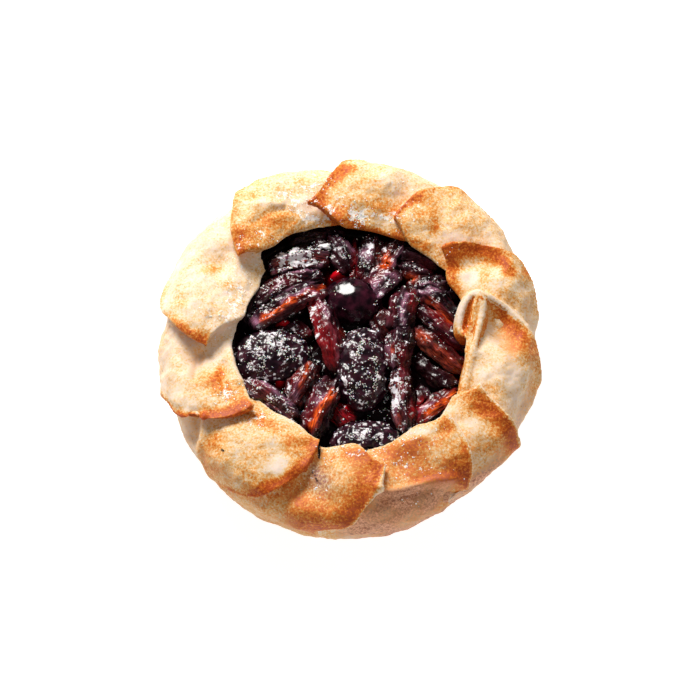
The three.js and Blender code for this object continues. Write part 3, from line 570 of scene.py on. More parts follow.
def line_distance(places_mm, line):
    """Distance in plan from each place to a line of points."""
    best = np.full(len(places_mm), 1e9)
    flat = places_mm[:, :2]
    for a, b in zip(np.array(line, float)[:-1], np.array(line, float)[1:]):
        along = b - a
        t = np.clip(((flat - a) @ along) / (along @ along), 0, 1)
        best = np.minimum(best, np.linalg.norm(flat - (a + t[:, None] * along), axis=1))
    return best


def crease_height(places_mm):
    """Creases in the folded dough: a soft ridge along each line, or a groove."""
    total = np.zeros(len(places_mm))
    for line, width, rise in CREASES:
        far = line_distance(places_mm, line)
        total += rise * np.exp(-(far / width) ** 2) * smooth(places_mm[:, 2], 18, 24)
    return total


def mm_from_middle(places):
    """Places in the frame, in metres, as millimetres from the axis of the opening."""
    return places / MM - np.array([*MIDDLE_MM, 0])


def sheet_shape(u, v, under):
    """The whole sheet: its flat underside first, then the side and the fold."""
    deg = 360 * u
    w = np.clip((v - FLOOR_SHARE) / (1 - FLOOR_SHARE), 0, 1)
    outside = sheet(deg, SHEET_TOP * w, 0)
    inside = sheet(deg, lerp(INSIDE_FROM, INSIDE_TO, w), -DOUGH)
    reach = np.where(under, from_axis(inside) - CORNER, BASE_R + eased(OUT, deg))
    reach = reach * np.clip(v / FLOOR_SHARE, 0, 1)
    angle = np.radians(deg)
    base = in_frame(reach * np.cos(angle), reach * np.sin(angle), np.where(under, DOUGH, 0.0))
    return np.where((v <= FLOOR_SHARE)[:, None], base, np.where(under[:, None], inside, outside))


def edge_angle(pleat, s):
    """The angle of a pleat's free edge, a share s up from where it comes loose."""
    return pleat[TIP] - (pleat[TIP] - pleat[FOOT]) * np.clip(1 - s, 0, 1) ** pleat[SWIRL]


def pleat_shape(index):
    """One pleat: it starts sunk in the pleat before it, rises across and ends free."""
    pleat, last = PLEATS[index], PLEATS[index - 1]
    back_turn = 360 if index == 0 else 0

    def shape(u, v, under):
        rim_deg = lerp(last[TIP] - back_turn - OVERLAP_DEG, pleat[TIP], u)
        rim = reach_of(rim_deg, lerp(pleat[OPEN_R], pleat[TIP_R], smooth(u, TIP_FROM, 1)))
        w = lerp(PLEAT_ROOT, rim, v)
        s = (w - PLEAT_FREE) / (rim - PLEAT_FREE)
        deg = lerp(edge_angle(last, s) - back_turn - OVERLAP_DEG, edge_angle(pleat, s), u)
        clear = smooth(w, PLEAT_ROOT, PLEAT_FREE)
        loose = smooth(w, PLEAT_ROOT, pleat[FREE_AT])
        rise = lerp(np.sin(np.pi / 2 * u), smooth(u, 0, 1), 0.5) * loose
        lip = pleat[LIP] * smooth(w, rim - LIP_RUN, rim)
        lip = lip + pleat[CURL] * smooth(u, CURL_FROM, 1) * loose
        bead = BEAD * smooth(u, BEAD_FROM, 1) * clear
        off = lerp(-START_SUNK, pleat[LIFT], rise) + lip + bead
        sunk = -SINK + pleat[LIFT] * smooth(u, PART_FROM, 1) * loose + lip
        low = np.minimum(np.maximum(off - PLEAT_DOUGH, -SINK), sunk)
        return sheet(deg, w, np.where(under, low, off))
    return shape


def hook_row():
    """The loose corner's path, carried on down along the eighth pleat's free edge."""
    down = np.linspace(0.90, 0.62, HOOK_TAIL)
    edge = pleat_shape(7)(np.ones(HOOK_TAIL), down, np.zeros(HOOK_TAIL, bool))
    edge[:, :2] -= MIDDLE_MM
    edge[:, 2] -= np.linspace(0.3, 2.0, HOOK_TAIL)
    return HOOK + [(*place, 0.24) for place in edge]


HOOK_ROW = hook_row()


def hook_shape(u, v, under):
    """The standing strip of the loose corner, thicker at its foot than at its crest."""
    path, along = catmull([row[:3] for row in HOOK_ROW], HOOK_STEPS)
    steps, at = np.arange(HOOK_STEPS), u * (HOOK_STEPS - 1)
    place = np.stack([np.interp(at, steps, path[:, k]) for k in range(3)], -1)
    heading = np.stack([np.interp(at, steps, along[:, k]) for k in range(2)], -1)
    aside = np.stack([-heading[:, 1], heading[:, 0]], -1)
    aside /= np.linalg.norm(aside, axis=1)[:, None]
    half = np.where(under, -1, 1) * lerp(HOOK_FOOT, HOOK_TOP, smooth(v, 0.4, 1))
    place[:, :2] += aside * half[:, None] + np.array(MIDDLE_MM)
    place[:, 2] += HOOK_TALL * (v - 0.85)
    return place


parts = [shaped_slab("crust_sheet", SHEET_COLUMNS, SHEET_ROWS, sheet_shape)]
close_seams(parts[0])
# Places all over the pleats that say, for the finished mesh: which pleat, how far in
# millimetres the free edge and the opening are, the share of the way up, whether it's a cut
# face, and how brown the loose corner's strip is.
samples = []
for index in range(11):
    shape = pleat_shape(index)
    parts.append(shaped_slab(f"pleat_{index}", PLEAT_COLUMNS, PLEAT_ROWS, shape))
    close_seams(parts[-1])
    u, v = (g.ravel() for g in np.meshgrid(np.linspace(0, 1, PLEAT_COLUMNS + 1),
                                           np.linspace(0, 1, PLEAT_ROWS + 1), indexing="ij"))
    top = shape(u, v, np.zeros(len(u), bool)).reshape(PLEAT_COLUMNS + 1, PLEAT_ROWS + 1, 3)
    low = shape(u, v, np.ones(len(u), bool)).reshape(top.shape)
    to_edge = np.linalg.norm(top - top[-1:], axis=2)
    to_rim = np.linalg.norm(top - top[:, -1:], axis=2)
    up = np.broadcast_to(np.linspace(0, 1, PLEAT_ROWS + 1), to_edge.shape)
    for i, j in np.ndindex(to_edge.shape):
        samples.append((top[i, j], index, to_edge[i, j], to_rim[i, j], up[i, j], 0.0, NO_HOOK))
    # The cut faces of the free edge and of the opening, which stay pale.
    for share in (0.25, 0.5, 0.75, 1.0):
        for j in range(PLEAT_ROWS + 1):
            place = lerp(top[-1, j], low[-1, j], share)
            samples.append((place, index, 0.0, to_rim[-1, j], up[-1, j], 1.0, NO_HOOK))
        for i in range(PLEAT_COLUMNS + 1):
            place = lerp(top[i, -1], low[i, -1], share)
            samples.append((place, index, to_edge[i, -1], 0.0, 1.0, 1.0, NO_HOOK))
parts.append(shaped_slab("hook", HOOK_COLUMNS, HOOK_ROWS, hook_shape))
close_seams(parts[-1])
hook_path, _ = catmull(HOOK_ROW, HOOK_SAMPLES)
inner = (hook_path[:, 0] < 49.5) & (hook_path[:, 1] > 1) & (np.arange(HOOK_SAMPLES) > 30)
for v in (0.2, 0.4, 0.6, 0.8, 1.0):
    for under in (False, True):
        strip = hook_shape(np.linspace(0, 1, HOOK_SAMPLES), np.full(HOOK_SAMPLES, v),
                           np.full(HOOK_SAMPLES, under))
        # The fold's inside is browned, and its crest is paler: partly the cut edge's cream and partly a
        # painted highlight along the strip's top.
        crest = lerp(CREST_PALE, DARK_CREST_PALE, smooth(hook_path[:, 3], 0.65, 0.9)) * v ** 8
        toasted = np.where(inner & under & (v < 0.9), FOLD_BAKE, hook_path[:, 3] * (1.2 - crest))
        # It counts as the eighth pleat, well clear of its cut edges.
        for place, baked in zip(strip, toasted):
            samples.append((place, 7, 9.0, 9.0, 1.0, 0.0, baked))

make_active(parts[0])
for part in parts[1:]:
    part.select_set(True)
bpy.ops.object.join()
crust = bpy.context.object
crust.name = "pastry_crust"
apply_modifier(crust, "REMESH", mode="VOXEL", voxel_size=CRUST_VOXEL)
apply_modifier(crust, "SMOOTH", factor=0.5, iterations=4)
low_down = crust.vertex_groups.new(name="side")
for number, (_, _, height) in enumerate(read_places(crust) / MM):
    if 1 < height < SIDE_TOP:
        low_down.add([number], min(1, (SIDE_TOP - height) / 6, (height - 1) / 3), "REPLACE")
apply_modifier(crust, "SMOOTH", factor=0.5, iterations=SIDE_SMOOTHING, vertex_group="side")

places = read_places(crust) / MM
normals = read_normals(crust)
tree_of_samples = KDTree(len(samples))
for number, sample in enumerate(samples):
    tree_of_samples.insert(Vector(sample[0]), number)
tree_of_samples.balance()
nearest = [tree_of_samples.find(Vector(p)) for p in places]
near = np.array([samples[n][1:] for _, n, _ in nearest])
far = np.array([distance for _, _, distance in nearest])
on_pleat = smooth(far, 3.5, 1.5)
pleat_of = near[:, 0].astype(int)
table = np.array(PLEATS)[pleat_of]
to_edge, to_rim, up_share, cut, hooked = (near[:, k] for k in range(1, 6))
on_hook = hooked > NO_HOOK / 2

# Hand-folded dough is never even: it swells, sags and blisters a little.
flat = mm_from_middle(places * MM)
fine = smooth(np.minimum(to_edge, to_rim) + 4 * (1 - on_pleat), 0.3, 3.5)
swell = SWELL * grain(places, SWELL_SIZE, 2, 1)
swell += fine * (BLISTER * grain(places, BLISTER_SIZE, 2, 2)
                 + PIMPLE * grain(places, PIMPLE_SIZE, 2, 3))
swell += crease_height(flat)
# The underside stays flat, and the loose corner's thin strip nearly plain.
swell *= smooth(places[:, 2], 0.2, 5) * np.where(on_hook, 0.15, 1)
places += normals * swell[:, None]
places[:, 2] = np.maximum(places[:, 2], 0)
write_places(crust, places * MM)
normals = read_normals(crust)

# How brown it is: the face of each pleat, a band along its free edge and one along the
# opening, then the single patches and lines. Pale cut edges, with a painted highlight along
# the free edges and the opening, and the strip come last.
blotch = grain(places, 7, 2, 4)
wobble = np.clip(1 + 0.35 * blotch, 0.4, 2)
band = np.exp(-np.maximum(to_edge - 0.9, 0) / (table[:, BAND] * wobble))
rim_band = np.exp(-np.maximum(to_rim - 0.9, 0) / (RIM_BAND * wobble))
high_up = smooth(up_share, 0.24, 0.50)
bake = table[:, FACE_BAKE] * lerp(0.85, 1.0, high_up)
bake += on_pleat * (EDGE_WEIGHT * table[:, EDGE_BAKE] * band * lerp(0.25, 1, high_up)
                    + RIM_WEIGHT * table[:, RIM_BAKE] * rim_band)
lit = sum(spots(flat, patches) * (pleat_of == pleat) for pleat, patches in BAKED_SPOTS.items())
for pleat, line, width, strength in BAKED_LINES:
    stroke = np.exp(-0.5 * (line_distance(flat, line) / (width * wobble)) ** 2)
    lit += strength * stroke * (pleat_of == pleat)
bake += PATCH_WEIGHT * lit * smooth(places[:, 2], 12, 22) + BLOTCH_WEIGHT * blotch
bake = np.where(bake > 0, BAKE_LIMIT * np.tanh(bake / BAKE_LIMIT), bake)
# The cut edges stay creamy, and a painted highlight is laid along each free edge and along the opening
# where it is baked little.
pale_rim_and_highlight = np.clip(1 - 2.5 * table[:, RIM_BAKE], 0, 1) * np.exp(-(to_rim / 0.9) ** 2)
pale_edge_and_highlight = table[:, PALE] * np.maximum(cut, np.exp(-(to_edge / 1.5) ** 2))
pale_edge_and_highlight = np.maximum(pale_edge_and_highlight, 0.8 * pale_rim_and_highlight) * on_pleat * smooth(places[:, 2], 8, 22)
bake = bake * (1 - 0.9 * pale_edge_and_highlight)
bake = np.where(on_hook, hooked + 0.08 * blotch, bake)
underside = smooth(places[:, 2], 1.2, 0.1)
bake = np.clip(bake + BASE_BAKE * underside, 0, 1.15)

# The side is a dull red-brown, partly baked so where the tray's heat and the juice reached it,
# and partly painted shade on the front, where the side faces away from the lamp.
round_deg = np.degrees(np.arctan2(flat[:, 1], flat[:, 0]))
side_deg, side_from, side_share = np.array(SIDE).T
ruddy = np.interp(round_deg, side_deg, side_share)
side_from = np.interp(round_deg, side_deg, side_from)
ruddy *= smooth(np.hypot(flat[:, 0], flat[:, 1]), side_from - 1.2, side_from + 1.2)
ruddy *= np.clip(0.72 + 0.55 * grain(places, 11, 2, 6), 0.25, 1)
# Painted shade: the front pleats are made ruddier.
front_deg, front_spread, front_shade_share = SHADED_FRONT_FACES
ruddy += front_shade_share * np.exp(-0.5 * ((round_deg - front_deg) / front_spread) ** 2)
# Painted shade in the hollows between the folds.
ruddy += spots(flat, SHADED_HOLLOWS)
ruddy *= 1 - 0.9 * on_pleat * smooth(to_edge, 13, 5) * smooth(up_share, 0.26, 0.40)
ruddy = np.clip(ruddy * (1 - 0.7 * pale_edge_and_highlight), 0, 1)
ruddy = np.maximum(ruddy, 0.3 * smooth(places[:, 2], 3.5, 0.5))
stain = spots(flat, STAINS)
crack = np.max([np.exp(-(line_distance(flat, line) / width) ** 2) for line, width in CRACKS_AND_GAP_SHADOW],
               axis=0)
dust = 1.15 * spots(flat, DUSTED_CRUST) * smooth(normals[:, 2], 0.2, 0.7)
for name, values in (("bake", bake), ("ruddy", ruddy), ("stain", stain), ("crack", crack),
                     ("dust", np.clip(dust, 0, 1))):
    write_attribute(crust, name, values)

# The flat underside, the inside and the dough's lower face need few faces, away from the edges
# that show, and the whole piece is then thinned a little where it is flattest.
height, from_middle = places[:, 2], np.hypot(flat[:, 0], flat[:, 1])
facing_out = (normals[:, :2] * flat[:, :2]).sum(1) / from_middle
deep = (height < 0.02) | (height < 17) & (from_middle < 64)
deep |= (height < 7) & (from_middle < 69) & (normals[:, 2] > 0.3)
deep |= (height < 26) & (facing_out < -0.3)
deep |= (height > 3) & (normals[:, 2] < -0.4) & (to_rim > 4) & (to_edge > 4)
make_active(crust)
bpy.ops.object.mode_set(mode="EDIT")
bpy.ops.mesh.select_all(action="DESELECT")
bpy.ops.object.mode_set(mode="OBJECT")
crust.data.vertices.foreach_set("select", deep)
bpy.ops.object.mode_set(mode="EDIT")
bpy.ops.mesh.select_mode(type="VERT")
bpy.ops.mesh.decimate(ratio=HIDDEN_SHARE)
bpy.ops.object.mode_set(mode="OBJECT")
triangles = sum(len(face.vertices) - 2 for face in crust.data.polygons)
apply_modifier(crust, "DECIMATE", ratio=min(1, CRUST_TRIANGLES / triangles))
shade_smooth(crust)


def attribute(tree, name):
    """A value that was written at every point of the mesh."""
    return node(tree, "ShaderNodeAttribute", attribute_name=name).outputs["Fac"]


def math_node(tree, operation, a, b=0.5, c=0.5, clamp=False):
    return node(tree, "ShaderNodeMath", {0: a, 1: b, 2: c}, operation=operation,
                use_clamp=clamp).outputs[0]


def mix_colour(tree, share, a, b):
    return node(tree, "ShaderNodeMix", {0: share, 6: a, 7: b}, data_type="RGBA").outputs[2]


def tint(tree, colour, hex_colour, share, amount=1.0):
    """Another colour laid over the one so far."""
    if amount != 1.0:
        share = math_node(tree, "MULTIPLY", share, amount, clamp=True)
    return mix_colour(tree, share, colour, linear(hex_colour))


def noise_value(tree, size_mm, detail=2.0, roughness=0.5):
    """Noise whose lumps are about size_mm across."""
    where = node(tree, "ShaderNodeTexCoord").outputs["Object"]
    settings = {"Vector": where, "Scale": 1 / (size_mm * MM), "Detail": detail,
                "Roughness": roughness}
    return node(tree, "ShaderNodeTexNoise", settings).outputs["Fac"]


def powder_share(tree, speck_mm, clump_mm, dust):
    """Where powdered sugar lies: fine specks that gather in clumps as the dust gets thick."""
    specks = noise_value(tree, speck_mm, 2.0, roughness=0.6)
    clumps = noise_value(tree, clump_mm, 2.0)
    level = math_node(tree, "MULTIPLY_ADD", specks, 0.55, math_node(tree, "MULTIPLY", clumps, 1.05))
    level = math_node(tree, "MULTIPLY_ADD", dust, 0.27, level)
    return math_node(tree, "MULTIPLY", stretch(tree, level, 1.03, 1.10),
                     math_node(tree, "MULTIPLY", dust, 6.0, clamp=True))


def add_bump(tree, height, strength, depth_mm, under=None):
    """Fine relief of a material, on top of any coarser relief under it."""
    sockets = {"Height": height, "Strength": strength, "Distance": depth_mm * MM}
    if under is not None:
        sockets["Normal"] = under
    return node(tree, "ShaderNodeBump", sockets).outputs[0]


# The dough's colour as it bakes, from raw to the darkest edge.
BAKE_COLOURS = [(0.0, "#F2DCCC"), (0.18, "#F0D3B0"), (0.36, "#E8B97A"), (0.52, "#DF923C"),
                (0.70, "#D46E1A"), (0.88, "#C45A14"), (1.0, "#AE460E")]
RUDDY_SHADE_GRAIN, RUDDY_SHADE_GROUND, BRAN, JUICE_STAIN = "#984022", "#F6BE9C", "#8A5A34", "#7A6470"
SCORCHED_AND_SHADOW, SUGAR_ON_DOUGH = "#180A08", "#FDF8F2"

# Baked shortcrust: dry, floury and matt, pale where it was covered and brown on what stood
# out, with a fine sandy grain and small dark specks. Its cut edges stay creamy, with a painted
# highlight along them.
pastry, tree, shader = new_material("baked_shortcrust", IOR=1.45, Subsurface_Weight=0.12,
                                    Subsurface_Scale=0.003, Specular_IOR_Level=0.35)
shader.inputs["Subsurface Radius"].default_value = (1.0, 0.55, 0.3)
sandy = noise_value(tree, 0.9, 3.0, roughness=0.7)
cloudy = noise_value(tree, 6.0, 3.0)
# The grain shows more the browner the dough is.
grain_depth = math_node(tree, "MULTIPLY_ADD", attribute(tree, "bake"), 1.5, 0.9)
baked = math_node(tree, "MULTIPLY_ADD", math_node(tree, "SUBTRACT", sandy, 0.5), grain_depth,
                  attribute(tree, "bake"))
baked = math_node(tree, "MULTIPLY_ADD", math_node(tree, "SUBTRACT", cloudy, 0.5), 0.35, baked)
ramp = node(tree, "ShaderNodeValToRGB", {"Fac": baked})
ramp.color_ramp.elements[0].color = linear(BAKE_COLOURS[0][1])
ramp.color_ramp.elements[1].color = linear(BAKE_COLOURS[-1][1])
for place, colour in BAKE_COLOURS[1:-1]:
    ramp.color_ramp.elements.new(place).color = linear(colour)
colour = ramp.outputs["Color"]
# The side's ruddy colour, which also paints the shade on the front and in the hollows.
ruddy_and_shade_tone = mix_colour(tree, stretch(tree, sandy, 0.37, 0.63), linear(RUDDY_SHADE_GRAIN),
                        linear(RUDDY_SHADE_GROUND))
ruddy_and_shade_share = math_node(tree, "MULTIPLY", attribute(tree, "ruddy"), 0.85)
colour = mix_colour(tree, ruddy_and_shade_share, colour, ruddy_and_shade_tone)
# Specks of bran, 1.5 mm apart.
where = node(tree, "ShaderNodeTexCoord").outputs["Object"]
speck = node(tree, "ShaderNodeTexVoronoi", {"Vector": where, "Scale": 1 / (1.5 * MM)})
speck = math_node(tree, "LESS_THAN", speck.outputs["Distance"], 0.17)
speck = math_node(tree, "MULTIPLY", speck, stretch(tree, cloudy, 0.42, 0.62, 0, 0.5))
colour = tint(tree, colour, BRAN, speck)
stained = math_node(tree, "MULTIPLY", attribute(tree, "stain"), stretch(tree, sandy, 0.25, 0.6))
colour = tint(tree, colour, JUICE_STAIN, stained, 0.75)
# Near black along the cracks, and painted shadow in the gap under the fourth pleat's tip.
colour = tint(tree, colour, SCORCHED_AND_SHADOW, stretch(tree, attribute(tree, "crack"), 0.3, 0.7))
sugary = powder_share(tree, 0.6, 2.2, attribute(tree, "dust"))
colour = tint(tree, colour, SUGAR_ON_DOUGH, sugary, 0.9)
tree.links.new(colour, shader.inputs["Base Color"])
tree.links.new(stretch(tree, baked, 0, 1, 0.8, 0.5), shader.inputs["Roughness"])
bump = add_bump(tree, cloudy, 0.5, 0.8, add_bump(tree, sandy, 0.35, 0.25))
tree.links.new(bump, shader.inputs["Normal"])
crust.data.materials.clear()
crust.data.materials.append(pastry)
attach(crust, "root")
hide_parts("crust")

# ------------------------------------------------------------------ filling
# Plum juice that thickened with sugar and starch in the oven: a dark glossy jelly between
# the pieces of fruit, right up under the folded dough.

FILLING_VOXEL = 1.1 * MM
OPENING = 47                       # mm, how far from the axis the jelly shows
JUICE_DEEP, JUICE_THIN, JUICE_LIT = "#080104", "#1C0308", "#BE0A1A"
# Where light gets through: the middle, the spread both ways, and how strongly.
RED_SPOTS = [
    (-4.3, 32.2, 2.0, 1.7, 1.1), (-6.7, 30.1, 1.6, 1.3, 0.8), (-26.4, 10.1, 2.4, 1.3, 1),
    (-27.1, -14.1, 2.0, 1.5, 1.1), (-2, -27.2, 1.6, 3.0, 1), (31.1, 30.5, 2.4, 1.7, 1),
    (-7.1, 46.3, 3.2, 1.3, 0.55), (26.8, -24.7, 3.2, 2.6, 0.8), (19.7, 39.8, 2.0, 2.1, 0.6),
    (-19.3, 9.7, 1.2, 0.9, 0.5), (17.7, 34.3, 1.6, 1.7, 0.7), (39, 37.8, 1.6, 1.7, 0.4),
]


def merged_copy(source, name):
    """A copy of a CAD solid with its loose triangles joined, as a piece of its own."""
    deselect()
    copy = bpy.data.objects[source].copy()
    copy.data = copy.data.copy()
    copy.data.materials.clear()
    copy.parent = None
    copy.matrix_world = Matrix()
    copy.name = name
    bpy.context.scene.collection.objects.link(copy)
    make_active(copy)
    bpy.ops.object.mode_set(mode="EDIT")
    bpy.ops.mesh.select_all(action="SELECT")
    bpy.ops.mesh.remove_doubles(threshold=1e-6)
    bpy.ops.object.mode_set(mode="OBJECT")
    return copy


jelly = merged_copy("filling", "plum_jelly")
apply_modifier(jelly, "REMESH", mode="VOXEL", voxel_size=FILLING_VOXEL)
apply_modifier(jelly, "SMOOTH", factor=0.5, iterations=2)
places = mm_from_middle(read_places(jelly))
radius = np.hypot(places[:, 0], places[:, 1])
shown = smooth(radius, OPENING - 1, OPENING - 6) * smooth(places[:, 2], 16, 18.5)
# It wells up between the pieces in waves, and higher where it shows red.
waves = 1.6 + 1.5 * grain(places, 7, 2, 5)
red = spots(places, RED_SPOTS)
places[:, 2] += shown * (waves + 5.5 * np.clip(red, 0, 1))
write_places(jelly, (places + np.array([*MIDDLE_MM, 0])) * MM)
write_attribute(jelly, "red", red)
shade_smooth(jelly)

# Boiled plum juice: near black where it is thick, crimson where light gets through it, and
# as smooth as glass on top.
juice, tree, shader = new_material("set_plum_juice", IOR=1.42, Roughness=0.12, Coat_Weight=0.3,
                                   Coat_Roughness=0.04)
colour = mix_colour(tree, noise_value(tree, 4.0), linear(JUICE_DEEP), linear(JUICE_THIN))
colour = tint(tree, colour, JUICE_LIT, attribute(tree, "red"), 1.3)
tree.links.new(colour, shader.inputs["Base Color"])
tree.links.new(add_bump(tree, noise_value(tree, 2.2), 0.5, 0.8), shader.inputs["Normal"])
jelly.data.materials.append(juice)
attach(jelly, "root")
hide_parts("filling")

# ------------------------------------------------------------------ plum slices
# Wedges of purple plum, baked until the skin wrinkles and the cut flesh turns brown, orange
# or red. They lie loose on the jelly, wet with juice, and are dusted with sugar.

FRUIT_VOXEL = 0.55 * MM
SKIN_DEEP, SKIN_WORN, FLESH_DEEP, FLESH_CLOUD = "#080104", "#3A0A16", "#220509", "#2C060C"
STROKE_COLOURS = {"red": "#8E0E16", "orange": "#A8260C", "ridge": "#A8708A"}
FLESH_GLOW, SHADE_BLACK, SUGAR_FILM, SUGAR_ON_FLESH = "#F4661A", "#060103", "#80607A", "#F4EEF4"
# For each slice of the frame: its two ends, width, depth, roll and bow as it was cut; the
# window of directions round it where flesh shows (0 is the middle of the skin, plus is to
# the left of its heading); the flesh's colour; and how thickly it is dusted.
SLICES = [
    ((-14.8, 21.5, 26), (-4, -13.5, 27.5), 14, 12, 24, 3.5, (-180, -8), "#6A1816", 0.3),
    ((-40, 7.5, 24.5), (-7, 23, 27), 12, 12, 26, 3.5, (-180, -42), "#5A1210", 0.3),
    ((-6, -13, 26), (-16, -38.5, 23.5), 13.5, 12, -16, 3, (-20, 25), "#5A1410", 0.28),
    ((18.5, -7, 25.5), (20.5, -37.5, 24), 11, 12, 20, 2, (-180, -15), "#6E3028", 0.34),
    ((21, 8.5, 27), (17.5, -12, 27.5), 12, 11, 0, 2, (-60, -20), "#5A1C26", 0.3),
    ((23, 24.5, 27), (18.5, 4.5, 27.5), 12, 12, 8, 2.5, (-60, -30), "#451620", 0.2),
    ((18, 33, 26.5), (5.5, 19.5, 28), 13, 12, -10, 2.5, (-30, 60), "#5A3040", 0.35),
    ((24.5, 8, 26), (48, -12, 24), 10, 12, -42, 3, (-180, 30), "#A04A34", 0.12),
    ((26, 17, 25.5), (48, -2, 23.5), 10, 11, -30, 2.5, (-180, 10), "#3A1210", 0.12),
    ((26.5, 25.5, 25.5), (45, 9.5, 24), 12, 11, -40, 2, (-180, 20), "#6A2418", 0.16),
    ((22, 24, 25.5), (40, 27, 24), 10, 10, 20, 1.5, (-180, -30), "#561C20", 0.2),
    ((-33.5, 33.5, 24.5), (-7, 38, 25.5), 12, 11, 34, 2.5, (-75, -25), "#7A2A24", 0.4),
    ((-39, 18, 24), (-10, 31, 25.5), 13, 11, 20, 3, (-180, -70), "#52181E", 0.28),
    ((9.5, 50, 22.5), (5, 27, 26), 10.5, 11, 0, 2, (20, 70), "#5A1E24", 0.3),
    ((20.5, 48, 22.5), (12.5, 30, 25.5), 10, 11, -30, 2, (-180, 60), "#5A1814", 0.3),
    ((-9, 50, 22.5), (1, 31.5, 25.5), 11, 11, 12, 2, (-70, -20), "#4A1820", 0.25),
    ((1.8, 49, 22), (1.2, 26, 25.5), 5, 9, 0, 1, (-180, 180), "#6A0A18", 0),
    ((19, 41.5, 23.5), (37, 36, 23), 10, 10, 10, 1.5, (-180, -20), "#561C20", 0.2),
    ((18.5, 34, 24), (34, 29.5, 23.5), 9, 10, -20, 1.5, (-180, 20), "#4A1412", 0.12),
    ((-45.5, -11, 23.5), (-20, -31, 24), 12.5, 11, -22, 3, (-5, 40), "#7A382C", 0.3),
    ((-14, -5.5, 25), (-27, -28, 24), 11, 11, 22, 2.5, (-90, 50), "#7A2A1E", 0.28),
    ((22.5, -34, 22.5), (47, -15.5, 22.5), 11, 11, 36, 2.5, (-180, 180), "#8E1A12", 0.08),
    ((24.5, -2, 23), (46, -20, 22.5), 12, 10, -10, 2, (-180, 60), "#1C0709", 0.08),
    ((-16.5, 44, 23.5), (-3, 40, 24.5), 9, 9, 10, 1.5, (-60, -20), "#4A1420", 0.2),
    ((-26, 46, 22), (-1, 51, 21.5), 11, 10, 10, 2, (-180, -70), "#2A0C14", 0.1),
    ((-43, 10, 22.5), (-36, 31, 22.5), 11, 10, 20, 2, (-180, -70), "#3A121C", 0.15),
    ((26, 32, 23), (42, 20, 22.5), 11, 9, 0, 1.5, (-180, -40), "#3A121C", 0.08),
    ((9.5, 17, 24.5), (16.5, 1, 25), 10, 10, 0, 1.5, (-60, 40), "#5A1A14", 0.08),
    ((-9, -22, 23), (2, -34, 22.5), 10, 9, 0, 1.5, (-180, 180), "#C01018", 0.05),
    ((24, -15, 22.5), (30, -31, 22.5), 10, 8, 0, 1.5, (-60, 60), "#3A1018", 0.08),
    ((-31, 14, 22.5), (-17, 3, 23), 10, 8, 0, 1.5, (-60, 60), "#4A1018", 0.12),
]


def streaks(tree, long_mm, wide_mm, detail=2.0):
    """Noise stretched along a slice: the folds of its skin and the fibres of its flesh."""
    along = math_node(tree, "DIVIDE", attribute(tree, "along"), long_mm)
    around = math_node(tree, "DIVIDE", attribute(tree, "around"), wide_mm)
    where = node(tree, "ShaderNodeCombineXYZ", {"X": along, "Y": around}).outputs[0]
    made = node(tree, "ShaderNodeTexNoise", {"Vector": where, "Scale": 1.0, "Detail": detail})
    return made.outputs["Fac"]


def plum_material(name, flesh_hex):
    """Baked plum: a taut purple-black skin that wrinkled as it dried, over soft flesh."""
    material, tree, shader = new_material(name, IOR=1.42, Subsurface_Weight=0.06,
                                          Subsurface_Scale=0.0015, Coat_Weight=0.3,
                                          Coat_Roughness=0.07)
    shader.inputs["Subsurface Radius"].default_value = (1.0, 0.25, 0.15)
    cloud = noise_value(tree, 3.0, 3.0)
    folds = streaks(tree, 6.0, 0.9, 3.0)
    fibres = streaks(tree, 3.0, 0.45, 2.0)
    skin = mix_colour(tree, stretch(tree, folds, 0.46, 0.74), linear(SKIN_DEEP), linear(SKIN_WORN))
    meat = mix_colour(tree, stretch(tree, fibres, 0.40, 0.66), linear(FLESH_DEEP), linear(flesh_hex))
    meat = tint(tree, meat, FLESH_CLOUD, stretch(tree, cloud, 0.42, 0.66), 0.8)
    colour = mix_colour(tree, math_node(tree, "MULTIPLY", attribute(tree, "flesh"), 0.8), skin, meat)
    uneven = math_node(tree, "ADD", stretch(tree, fibres, 0.30, 0.60), 0.25, clamp=True)
    for stroke, hex_colour in STROKE_COLOURS.items():
        share = math_node(tree, "MULTIPLY", attribute(tree, stroke), uneven, clamp=True)
        colour = tint(tree, colour, hex_colour, share)
    glow = math_node(tree, "POWER", attribute(tree, "orange"), 2.0)
    glow = math_node(tree, "MULTIPLY", glow, stretch(tree, fibres, 0.40, 0.58), clamp=True)
    colour = tint(tree, colour, FLESH_GLOW, glow)
    # Painted shade: the sides and undersides of each slice, which face away from the top, are darkened to
    # black.
    colour = tint(tree, colour, SHADE_BLACK, attribute(tree, "sunk"))
    colour = tint(tree, colour, SUGAR_FILM, attribute(tree, "dust"), 0.03)
    powder = powder_share(tree, 0.9, 3.2, attribute(tree, "dust"))
    colour = tint(tree, colour, SUGAR_ON_FLESH, powder, 0.92)
    tree.links.new(colour, shader.inputs["Base Color"])
    wet = math_node(tree, "MULTIPLY_ADD", stretch(tree, cloud, 0.35, 0.7), 0.28, 0.10)
    wet = math_node(tree, "ADD", wet, math_node(tree, "MULTIPLY", powder, 0.6), clamp=True)
    tree.links.new(wet, shader.inputs["Roughness"])
    bump = add_bump(tree, fibres, 0.35, 0.3, add_bump(tree, folds, 0.55, 0.6))
    bump = add_bump(tree, powder, 0.5, 0.3, bump)
    tree.links.new(bump, shader.inputs["Normal"])
    return material


def soft_fruit(source, name, rounds=4, swell=0.3):
    """A baked plum is soft: the solid's corners are rounded off and it is let swell again."""
    piece = merged_copy(source, name)
    apply_modifier(piece, "REMESH", mode="VOXEL", voxel_size=FRUIT_VOXEL)
    apply_modifier(piece, "SMOOTH", factor=0.5, iterations=rounds)
    write_places(piece, read_places(piece) + read_normals(piece) * swell * MM)
    return piece
